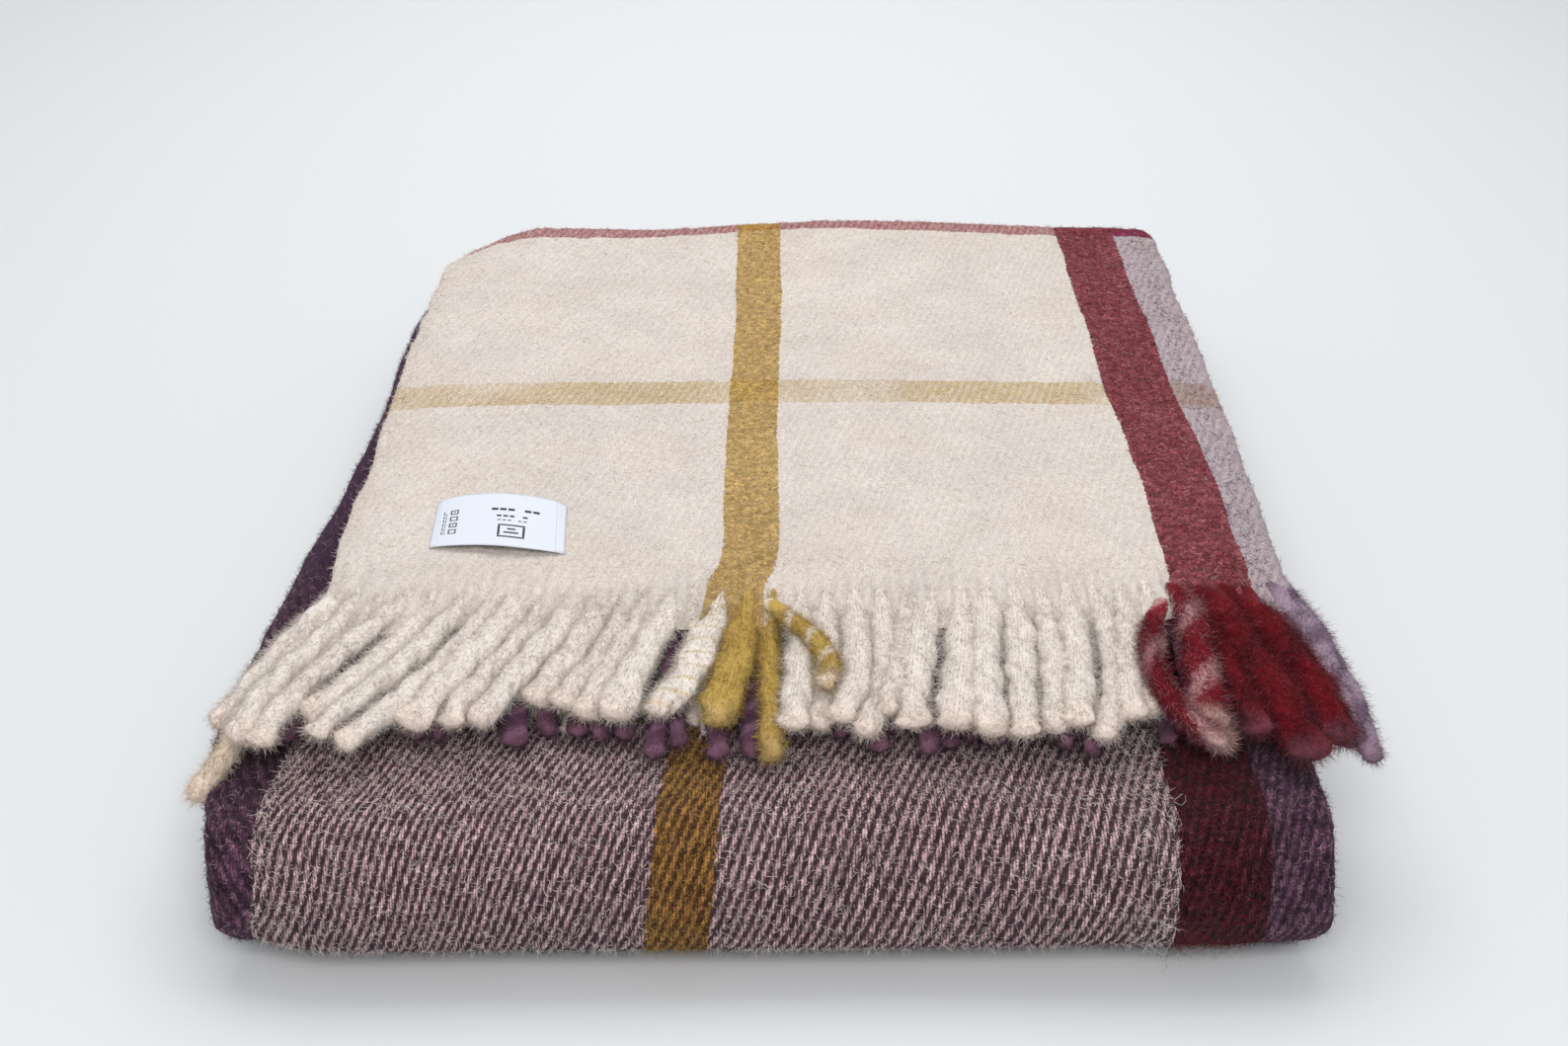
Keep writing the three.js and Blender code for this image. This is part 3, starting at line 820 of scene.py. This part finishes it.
def felt(name, colour, second=None, tip=None, twist=(0.0125, 0.5, 1.15), pale=None):
    """Felted tassel wool. A second colour is twisted round it where it has one."""
    n = Nodes(name)
    place = n.make("TexCoord").outputs["Object"]
    yarn = n.make("SeparateXYZ", {0: n.make("Attribute", attribute_name="yarn").outputs["Vector"]})
    fine = n.noise(place, 1700.0, 3.0, 0.65, 1.0)
    strands = n.noise(place, 560.0, 3.0, 0.6, 2.0)
    if second:
        period, low, high = twist
        turn = n.add(n.times(yarn.outputs[0], 2 * math.pi / period), yarn.outputs[1])
        wave = n.add(n.math("SINE", turn), n.about(strands, 2.8))
        colour = n.mix(n.ranged(wave, low, high, 0.0, 0.85), colour, second)
    near_tip = n.ranged(n.add(yarn.outputs[2], n.about(strands, 0.012)), 0.014, 0.0)
    colour = n.mix(n.times(near_tip, 0.5), colour, tip)
    tone = n.times(n.ranged(fine, 0.25, 0.75, 0.84, 1.12), n.ranged(strands, 0.3, 0.7, 0.9, 1.07))
    loose = n.math("LESS_THAN", yarn.outputs[2], -0.5)
    if pale:
        colour = n.mix(loose, colour, pale)
    n.bump(n.add(n.times(fine, 0.7), n.times(strands, 0.6)), 0.36, 0.001)
    return n.finish(n.shaded(colour, tone), 0.95, 0.06, 0.06)


# ---- fringe ----------------------------------------------------------------


def bezier(points, count):
    """A smooth line through a few control points (Bernstein form)."""
    points = np.asarray(points, float)
    t = np.linspace(0, 1, count)[:, None]
    degree = len(points) - 1
    total = 0
    for k, point in enumerate(points):
        total = total + math.comb(degree, k) * t ** k * (1 - t) ** (degree - k) * point
    return total


def evened(line, count):
    """The same line with its points evenly spaced."""
    length = np.concatenate([[0], np.cumsum(np.linalg.norm(np.diff(line, axis=0), axis=1))])
    at = np.linspace(0, length[-1], count)
    return np.stack([np.interp(at, length, line[:, k]) for k in range(3)], -1)


def tube(line, width, height, sides, seed, flatten=0.0, twist=44.0, taper=0.0):
    """A felted rope along a line: oval, grooved, with a two-ply twist and a blunt frayed end."""
    count = len(line)
    line = evened(line, count)
    tangent = unit(np.gradient(line, axis=0))
    side = unit(np.cross(tangent, [0, 0, 1]))
    up = np.cross(side, tangent)
    length = np.concatenate([[0], np.cumsum(np.linalg.norm(np.diff(line, axis=0), axis=1))])
    turn = np.arange(sides) * 2 * math.pi / sides
    s, a = np.meshgrid(length, turn, indexing="ij")
    rest = length[-1] - s
    frayed = smooth(13, 2, rest)
    end = np.sqrt(np.clip(1 - (1 - np.clip(rest / (0.42 * height), 0, 1)) ** 2, 0.0004, 1))
    spin = a - 2 * math.pi * s / twist + seed
    ply = 1 + (0.09 + 0.1 * frayed) * np.cos(2 * spin)
    lumps = 1 + 0.09 * fractal(s / 15 + 9 * seed, 1.7 * np.cos(spin) + 3 * seed, 50, 2)
    lumps = lumps + 0.05 * noise(s / 6, 3.1 * np.cos(spin) + seed, 53)
    lumps = lumps + 0.03 * noise(s / 5, 3.1 * np.sin(spin) + seed, 55)
    lumps = lumps + (0.012 + 0.1 * frayed) * noise(s / 1.6, 2.4 * np.sin(a) + seed, 56)
    swell = 1 + 0.13 * noise(s / 30, seed * 3.7, 54) - taper * s / length[-1]
    root = smooth(44, 14, s) * flatten
    wide = width / 2 * ply * lumps * swell * (1 + 0.15 * root)
    high = height / 2 * ply * lumps * swell * (1 - 0.3 * root)
    offset = (wide * np.cos(a) * end)[..., None] * side[:, None]
    offset = offset + (high * np.sin(a) * end)[..., None] * up[:, None]
    points = (line[:, None] + offset).reshape(-1, 3)
    caps = [np.arange(sides), np.arange((count - 1) * sides, count * sides)[::-1]]
    faces = [grid_faces(count, sides, wrap=True)[:, ::-1]] + caps
    yarn = np.stack([s * MM, a, rest * MM], -1).reshape(-1, 3)
    return points, faces, yarn, (tangent, length)


def tube_fuzz(points, yarn, sides, count, length, rng, skip, forward):
    """Fibres that stand off a tube towards its tip."""
    grid = points.reshape(-1, sides, 3)
    rows = len(grid)
    row = rng.randint(int(skip * rows), rows - 1, count)
    column = rng.randint(0, sides, count)
    t = rng.uniform(0, 1, (count, 1))
    root = grid[row, column] * (1 - t) + grid[row + 1, column] * t
    middle = grid[row].mean(axis=1)
    out = unit(root - middle)
    tangent = unit(grid[row + 1].mean(axis=1) - middle)
    along_it = tangent * rng.uniform(-0.1, 1.5, (count, 1)) * forward
    ways = unit(out * rng.uniform(0.15, 0.85, (count, 1)) + along_it + 0.38 * rng.normal(size=(count, 3)))
    lengths = rng.uniform(length[0], length[1], count)
    made, faces, per = fibres(root, ways, lengths, 0.075, 0.6, rng, 2)
    worn = yarn.reshape(-1, sides, 3)[row, column].copy()
    worn[:, 2] = np.where(rng.uniform(size=count) < 0.12, -1.0, worn[:, 2])
    return made, faces, np.repeat(worn, per, 0)


def tassel_line(root, tip, drop, bow, rise=0.0, count=110, sink=4.6):
    """From inside the weave to the tip: forward, bowed sideways, sinking at the end."""
    x0, y0, z0 = root
    x1, y1 = tip
    line = bezier([
        (x0 - 0.1 * (x1 - x0), y0 + 26, z0 - sink), (x0 - 0.02 * (x1 - x0), y0 + 8, z0 + 0.2 + 0.4 * rise),
        (x0 + 0.22 * (x1 - x0) + bow, y0 + 0.3 * (y1 - y0), z0 + 1.2 * rise),
        (x0 + 0.68 * (x1 - x0) + 2 * bow, y0 + 0.66 * (y1 - y0), z0 + rise - 0.2 * drop),
        (x1, y1, z0 - drop),
    ], count)
    s = np.linspace(0, 1, count)
    line[:, 0] += 4.2 * s * noise(2.6 * s, 3 * bow, 71)
    line[:, 2] += 1.1 * s * noise(4 * s, 3 * bow, 72)
    x, y, z = settle(line[:, 0], line[:, 1], line[:, 2])
    return np.stack([x, y, z], -1)


def rope(name, line, width, height, felt_material, slot, nodes, seed, fuzz=2300, sides=30,
         flatten=0.0, twist=44.0, skip=0.17, length=(1.6, 5.0), taper=0.0):
    """A tassel with its own loose fibres, as one piece."""
    rng = np.random.RandomState(seed)
    points, faces, yarn, _ = tube(line, width, height, sides, rng.uniform(0, 6), flatten, twist, taper)
    more, fibre_faces, worn = tube_fuzz(points, yarn, sides, fuzz, length, rng, skip, 0.8)
    faces = faces + [block + len(points) for block in fibre_faces]
    made = mesh_object(name, placed(np.concatenate([points, more])), faces, felt_material,
                       [("yarn", np.concatenate([yarn, worn]))])
    return finished(made, slot, *nodes)


def tassel_root(i):
    left, right = SELVEDGE[0] + 2, RIGHT[0] - 2
    return left + (right - left) * (i + 0.5) / TASSELS


def tassel_wool(i):
    """The felt and the CAD slot of each tassel of the ply that shows."""
    if i == 14:
        return "cream_mustard", "wool_mustard"
    if i in (15, 16):
        return "mustard", "wool_mustard"
    if i == 31:
        return "burgundy_cream", "wool_burgundy"
    if i in (32, 33):
        return "burgundy", "wool_burgundy"
    return ("purple", "wool_purple") if i > 33 else ("cream", "wool_cream")


def make_fringe(felts):
    rng = np.random.RandomState(5)
    made = []
    for i, (lean, reach) in enumerate(TASSEL_FALL):
        x = tassel_root(i)
        over = i % 2
        drop = rng.uniform(4, 7) + (3.5 if i > 33 else 0)
        rise = 1.6 * over * smooth(60, 140, abs(x)) + rng.uniform(-0.4, 0.8)
        root = (x, HEM_Y, Z_TOP + PLY_PITCH)
        tip = (x + lean + rng.uniform(-0.8, 0.8), HEM_Y - reach)
        line = tassel_line(root, tip, drop - 1.8 * over, rng.uniform(-4.5, 4.5), rise)
        width = TASSEL_WIDTH.get(i, rng.uniform(9.4, 13.0))
        wool, slot = tassel_wool(i)
        name = f"tassel_{i + 1:02d}"
        fuzz, length = (5200, (2.5, 8.5)) if "burgundy" in wool else (4000, (2.2, 6.6))
        made.append(rope(name + "_felt", line, width, rng.uniform(6.6, 8.0), felts[wool], slot,
                         [name], 200 + i, fuzz, flatten=1.0, length=length))
    return made + make_strays(felts)


def make_strays(felts):
    """The tassels that lie across their neighbours or hang off the corner."""
    top = Z_TOP + PLY_PITCH
    lying = [(-5, -148, top + 3.5), (4, -164, top + 6.5), (19, -182, top + 6), (22, -196, top + 5.5),
             (15, -209, top + 4)]
    hanging = [(-196, -176, Z_TOP - 4), (-208, -206, Z_TOP - 3), (-216, -226, Z_TOP - 9),
               (-224, -240, Z_MIDDLE + 3)]
    second = [(-186, -140, top + 1), (-200, -172, top + 1), (-211, -196, top - 3), (-219, -214, top - 8)]
    loop = [(156, -148, top + 2), (142, -180, top + 7), (134, -222, top + 6), (166, -240, top - 4)]
    burgundy = [(178, -136, top), (184, -176, top + 4), (191, -216, top + 3), (197, -246, top - 8)]
    burgundy_b = [(190, -136, top), (199, -172, top + 4), (207, -206, top + 3), (210, -237, top - 7)]
    purple = [(204, -132, top), (216, -170, top + 2), (221, -214, top - 3), (222, -241, top - 12)]
    rows = [
        ("tassel_lying", lying, 7.4, 6.0, "mustard_cream", "wool_mustard", "tassel_17"),
        ("tassel_hanging", hanging, 9.0, 7.5, "beige", "wool_cream", "fringe_third_ply"),
        ("tassel_corner", second, 8.6, 6.6, "cream", "wool_cream", "tassel_01"),
        ("tassel_loop", loop, 7.4, 6.0, "burgundy_cream", "wool_burgundy", "tassel_32"),
        ("tassel_burgundy_b", burgundy, 13.5, 7.5, "burgundy", "wool_burgundy", "tassel_33"),
        ("tassel_burgundy_c", burgundy_b, 12.0, 7.5, "burgundy", "wool_burgundy", "tassel_34"),
        ("tassel_purple_b", purple, 10.0, 7.0, "purple", "wool_purple", "tassel_36"),
    ]
    made = []
    for k, (name, control, width, height, wool, slot, node) in enumerate(rows):
        line = bezier(control, 90)
        line = np.stack(settle(*line.T), -1)
        fuzz, length = (5200, (2.5, 8.5)) if "burgundy" in wool else (2600, (2.2, 6.6))
        made.append(rope(name, line, width, height, felts[wool], slot, [node], 300 + k, fuzz, length=length))
    return made


def fringe_ply(name, x_range, hem_y, z, seed, drop, wool_at, felts, reach, fuzz):
    """A ply of tassels that lies under or inside the stack, joined as one piece."""
    rng = np.random.RandomState(seed)
    low, high = x_range
    blocks = {"points": [], "faces": [], "yarn": [], "slots": []}
    places = [low + (high - low) * (i + 0.5) / TASSELS for i in range(TASSELS)]
    used = sorted({wool_at(x) for x in places})
    start, sides = 0, 14
    for x in places:
        sweep = -26 * smooth(-90, -190, x) * (reach[1] > 90)
        tip = (x + sweep + rng.uniform(-5, 5), hem_y - rng.uniform(*reach) + 10 * smooth(-60, -150, x))
        line = tassel_line((x, hem_y, z), tip, drop + rng.uniform(-1, 1), rng.uniform(-3, 3), 0, 48,
                           0.3)
        points, faces, yarn, _ = tube(line, rng.uniform(5.8, 8.6), rng.uniform(4.8, 6.2), sides,
                                      rng.uniform(0, 6))
        if fuzz:
            more, extra, worn = tube_fuzz(points, yarn, sides, fuzz, (2.4, 7), rng, 0.7, 0.8)
            faces = faces + [block + len(points) for block in extra]
            points, yarn = np.concatenate([points, more]), np.concatenate([yarn, worn])
        faces = [np.atleast_2d(block) for block in faces]
        blocks["points"].append(points)
        blocks["yarn"].append(yarn)
        blocks["faces"] += [block + start for block in faces]
        blocks["slots"] += [used.index(wool_at(x))] * sum(len(block) for block in faces)
        start += len(points)
    made = mesh_object(name + "_felt", placed(np.concatenate(blocks["points"])), blocks["faces"],
                       felts[used[0]], [("yarn", np.concatenate(blocks["yarn"]))])
    for wool in used[1:]:
        made.data.materials.append(felts[wool])
    made.data.polygons.foreach_set("material_index", blocks["slots"])
    return finished(made, "wool_purple", name)


def ply_three_wool(x):
    """The third ply's warp, from its left fold: purple, burgundy, cream, mustard, cream."""
    for limit, wool in ((-185, "purple"), (-150, "burgundy"), (12, "cream"), (36, "mustard")):
        if x < limit:
            return wool
    return "cream"


# The second ply's and the hidden plies' tassels use a darker copy of the purple felt: painted shade for
# tassels that lie under the top ply.
def all_shaded_purple(x):
    return "mauve"


def make_lower_fringe(felts):
    top, hidden = (LEFT[0] + 5, RIGHT[0] - 5), (LEFT[-1] + 5, RIGHT[-1] - 5)
    made = [
        fringe_ply("fringe_second_ply", top, HEM_Y, Z_TOP, 61, 5.5, all_shaded_purple, felts, (77, 96), 400),
        fringe_ply("fringe_third_ply", top, HEM_Y, Z_TOP - PLY_PITCH, 62, 2.0, ply_three_wool, felts,
                   (60, 74), 160),
    ]
    for ply, wool_at in enumerate((all_shaded_purple, all_shaded_purple, ply_three_wool)):
        z = Z_END + (ply - 1) * PLY_PITCH
        made.append(fringe_ply(f"hidden_fringe_ply_{ply + 1}", hidden, HIDDEN_HEM_Y, z, 63 + ply, 0,
                               wool_at, felts, (80, 88), 120))
    return made


# ---- label -----------------------------------------------------------------


def label_material():
    n = Nodes("label_satin")
    place = n.make("TexCoord").outputs["Object"]
    ribs = n.make("TexWave", {"Vector": place, "Scale": 900.0, "Distortion": 0.4}, bands_direction="Y")
    fine = n.noise(place, 2500.0, 2.0)
    colour = n.mix(n.times(fine, 0.35), (0.71, 0.745, 0.82, 1), (0.6, 0.635, 0.71, 1))
    n.bump(n.add(n.times(ribs.outputs[1], 0.5), n.times(fine, 0.4)), 0.12, 0.0003)
    return n.finish(colour, 0.55, 0.1, 0.3)


def print_material():
    n = Nodes("label_print")
    fine = n.noise(n.make("TexCoord").outputs["Object"], 3000.0, 2.0)
    colour = n.mix(fine, (0.02, 0.02, 0.025, 1), (0.07, 0.07, 0.08, 1))
    n.bump(fine, 0.1, 0.0002)
    return n.finish(colour, 0.7)


def thread_material():
    n = Nodes("label_thread")
    fine = n.noise(n.make("TexCoord").outputs["Object"], 2600.0, 2.0)
    colour = n.mix(fine, (0.78, 0.78, 0.8, 1), (0.55, 0.55, 0.58, 1))
    n.bump(fine, 0.2, 0.0002)
    return n.finish(colour, 0.7)


LABEL_WIDTH, LABEL_DEPTH, LABEL_ARCH = 59.0, 41.5, 5.6
LABEL_LEFT_X, LABEL_FRONT_Y = -150.2, -105.2
LABEL_Z = Z_TOP + PLY_PITCH + CLOTH_THICKNESS / 2 + 0.6


def label_surface(a, b, lift):
    """The ribbon at a along its length from its left end and b from its front edge, in mm."""
    t = np.clip(a / LABEL_WIDTH, 0, 1)
    back = np.clip(b / LABEL_DEPTH, 0, 1)
    arch = np.sin(math.pi * np.clip((t - 0.02) / 0.95, 0, 1)) ** (0.75 - 0.2 * back)
    rise = LABEL_ARCH * (0.62 + 0.38 * back) * arch + 0.35 * noise(a / 16, b / 30, 91)
    x = LABEL_LEFT_X + 0.95 * a + (2.6 * t - 0.6) * (1 - back) - 1.2 * back * (1 - t)
    y = LABEL_FRONT_Y + 5.2 * (1 - t) + b * (0.94 + 0.06 * t) - 1.4 * arch * (1 - back)
    z = LABEL_Z + rise + lift
    return np.stack(settle(x, y, z), -1)


def ribbon(name, a, b, low, high, material, slot, *nodes):
    """A closed strip that follows the label between two lifts off its surface."""
    av, bv = np.meshgrid(a, b)
    top = label_surface(av, bv, high).reshape(-1, 3)
    bottom = label_surface(av, bv, low).reshape(-1, 3)
    columns, rows = len(a), len(b)
    ring = np.array([r * columns + c for r, c in border(rows, columns)])
    after = np.roll(ring, -1)
    walls = np.stack([after, ring, ring + len(top), after + len(top)], -1)
    faces = [grid_faces(rows, columns), grid_faces(rows, columns, start=len(top))[:, ::-1], walls]
    made = mesh_object(name, placed(np.concatenate([top, bottom])), faces, material)
    return finished(made, slot, *nodes)


def label_marks():
    """Generic marks, as (a, b, long, wide): a frame, rows of dashes, four boxes."""
    marks = [(29.5, 6.4, 12, 1.0), (29.5, 15.4, 12, 1.0), (29.5, 7.7, 1.0, 7.4), (40.5, 7.7, 1.0, 7.4),
             (32.2, 9.6, 6.6, 1.1), (33.6, 12.4, 3.8, 1.1)]
    for b, low, high, dash, wide in ((19.4, 29, 42, 1.5, 0.7), (22.4, 28.5, 43, 2.1, 1.3),
                                     (27.4, 26, 46.5, 2.9, 1.7)):
        places = np.arange(low, high, dash + 0.8)
        marks += [(a, b, dash, wide) for k, a in enumerate(places) if k % 4 != 3]
    for k in range(4):
        b = 9.5 + 5.4 * k
        marks += [(7.4, b, 0.6, 3.6), (10.4, b, 0.6, 3.6), (8.0, b, 2.4, 0.6), (8.0, b + 3.0, 2.4, 0.6)]
        marks += [(8.9, b + 1.4, 0.7, 0.9)] * (k % 2)
    marks += [(4.3, b, 0.5, 2.4) for b in np.arange(9.5, 28, 3.4)]
    marks += [(5.4, b, 0.4, 1.6) for b in np.arange(9.5, 26, 2.6)]
    return marks


def printed(material):
    """All of the label's marks, as one piece of thin closed plates."""
    points, faces, start = [], [], 0
    for a, b, long, wide in label_marks():
        av, bv = np.meshgrid(np.linspace(a, a + long, 5), np.linspace(b, b + wide, 3))
        shells = [label_surface(av, bv, lift).reshape(-1, 3) for lift in (0.56, 0.44)]
        ring = np.array([r * 5 + c for r, c in border(3, 5)])
        after = np.roll(ring, -1)
        walls = np.stack([after, ring, ring + 15, after + 15], -1)
        blocks = [grid_faces(3, 5), grid_faces(3, 5, start=15)[:, ::-1], walls]
        faces += [block + start for block in blocks]
        points += shells
        start += 30
    made = mesh_object("label_marks", placed(np.concatenate(points)), faces, material)
    return finished(made, "label", "label")


def stitches(name, a, material, node):
    """A row of short stitches across the ribbon near one end."""
    rng = np.random.RandomState(71)
    b = np.arange(1.4, LABEL_DEPTH - 2.5, 3.1)
    roots = label_surface(a + 0 * b, b, 0.66)
    ends = label_surface(a + 0.25 * rng.normal(size=len(b)), b + 2.1, 0.66)
    points, faces, _ = fibres(roots, unit(ends - roots), 0 * b + 2.1, 0.27, 0.0, rng, 3)
    made = mesh_object(name, placed(points), faces, material)
    return finished(made, "thread", node)


def make_label():
    satin, ink, thread = label_material(), print_material(), thread_material()
    made = ribbon("label_ribbon", spaced(0, LABEL_WIDTH, 0.9), spaced(0, LABEL_DEPTH, 1.5),
                  0.0, 0.5, satin, "label", "label")
    parts = [printed(ink)]
    for name, at, wide in (("label_hem_left", 0.2, 3.0), ("label_hem_right", LABEL_WIDTH - 4.2, 4.0)):
        parts.append(ribbon(name, spaced(at, at + wide, 1.0), spaced(0.3, LABEL_DEPTH - 0.3, 2.0),
                            0.45, 0.85, satin, "label"))
    parts.append(stitches("label_thread_left", 1.9, thread, "label_stitches_left"))
    parts.append(stitches("label_thread_right", LABEL_WIDTH - 2.2, thread, "label_stitches_right"))
    return made


# ---- stage -----------------------------------------------------------------


def paper():
    n = Nodes("pale_paper")
    fine = n.noise(n.make("TexCoord").outputs["Object"], 900.0, 3.0)
    colour = n.mix(n.times(fine, 0.3), (0.71, 0.725, 0.74, 1), (0.66, 0.675, 0.69, 1))
    n.bump(fine, 0.05, 0.0003)
    return n.finish(colour, 0.9)


def make_stage():
    """A pale floor that curves up into a backdrop."""
    profile = [(-3.0, 0.0), (1.6, 0.0)]
    for k in range(1, 13):
        turn = math.pi / 2 * k / 12
        profile.append((1.6 + 1.2 * math.sin(turn), 1.2 - 1.2 * math.cos(turn)))
    profile.append((2.8, 4.5))
    floor_z = CLOTH_LOW.z
    points = [(x, y, floor_z + z) for y, z in profile for x in (-9.0, 9.0)]
    mesh_object("floor", points, [grid_faces(len(profile), 2)], paper())


def area_light(name, place, target, size, energy, colour):
    data = bpy.data.lights.new(name, "AREA")
    data.shape = "RECTANGLE"
    data.size, data.size_y = size
    data.energy = energy
    data.color = colour
    made = bpy.data.objects.new(name, data)
    bpy.context.scene.collection.objects.link(made)
    made.location = place
    made.rotation_euler = (Vector(target) - Vector(place)).to_track_quat("-Z", "Y").to_euler()


def make_light():
    world = bpy.data.worlds.new("studio")
    bpy.context.scene.world = world
    world.use_nodes = True
    world.node_tree.nodes["Background"].inputs[0].default_value = (0.92, 0.96, 1.0, 1)
    world.node_tree.nodes["Background"].inputs[1].default_value = 0.5
    area_light("softbox", (0.0, 0.4, 1.45), (0, 0.2, 0.0), (1.5, 1.1), 12.8, (1.0, 0.985, 0.965))
    area_light("front", (0.0, -1.45, 1.3), (0, -0.5, 0.0), (1.2, 0.7), 17, (1.0, 0.985, 0.965))
    area_light("backdrop", (0.0, 1.15, 1.1), (0, 1.5, 0.0), (0.9, 0.5), 4.5, (1.0, 0.985, 0.97))
    bpy.context.scene.view_settings.view_transform = "Standard"


def make_camera():
    """A 50 mm lens, a little above and in front, turned slightly to the right."""
    data = bpy.data.cameras.new("camera")
    data.lens = 50
    data.sensor_width = 36
    data.clip_start, data.clip_end = 0.05, 30
    made = bpy.data.objects.new("camera", data)
    bpy.context.scene.collection.objects.link(made)
    middle = (CLOTH_LOW.x + CLOTH_HIGH.x) / 2
    made.location = (middle - 0.0085, CLOTH_LOW.y - 0.6222, CLOTH_HIGH.z + 0.4721)
    made.rotation_euler = (math.radians(90 - 29.74), 0, math.radians(-0.72))
    bpy.context.scene.camera = made


# ---- the throw -------------------------------------------------------------

make_camera()
make_light()
make_stage()

FELT_CREAM = (0.82, 0.75, 0.69, 1)
PALE_TIP = (0.8, 0.64, 0.55, 1)
DARK_TIP = (0.17, 0.08, 0.11, 1)
PINK = (0.5, 0.3, 0.33, 1)
felts = {
    "cream": felt("felt_cream", (0.79, 0.715, 0.655, 1), None, PALE_TIP, pale=(0.87, 0.8, 0.74, 1)),
    "beige": felt("felt_beige", (0.78, 0.65, 0.52, 1), None, PALE_TIP),
    "mustard": felt("felt_mustard", (0.5, 0.335, 0.085, 1), (0.3, 0.17, 0.03, 1), (0.6, 0.42, 0.2, 1), (0.06, 0.2, 2.2), (0.62, 0.5, 0.3, 1)),
    "burgundy": felt("felt_burgundy", (0.155, 0.004, 0.009, 1), (0.05, 0.003, 0.007, 1), DARK_TIP, (0.05, -0.2, 1.6), (0.36, 0.075, 0.1, 1)),
    "purple": felt("felt_purple", (0.33, 0.24, 0.31, 1), (0.12, 0.07, 0.11, 1), DARK_TIP, (0.03, -0.4, 1.2), (0.5, 0.42, 0.5, 1)),
    # A darker copy of the purple tassel wool: painted shade for the tassels under the top ply.
    "mauve": felt("felt_shaded_purple", (0.075, 0.03, 0.055, 1), (0.17, 0.085, 0.135, 1), DARK_TIP,
                  (0.013, -0.2, 1.1), (0.36, 0.24, 0.31, 1)),
    "cream_mustard": felt("felt_cream_mustard", FELT_CREAM, (0.56, 0.4, 0.12, 1), PALE_TIP,
                          (0.0085, 0.55, 1.5)),
    "mustard_cream": felt("felt_mustard_cream", (0.5, 0.34, 0.09, 1), FELT_CREAM, PALE_TIP,
                          (0.016, 0.3, 1.3)),
    "burgundy_cream": felt("felt_burgundy_cream", BURGUNDY, (0.62, 0.36, 0.37, 1), PALE_TIP,
                           (0.045, 0.35, 1.3), PINK),
}
cloth = make_cloth(wool_plaid())
nap = make_nap(wool_fibre())
tassels = make_fringe(felts)
lower = make_lower_fringe(felts)
make_label()
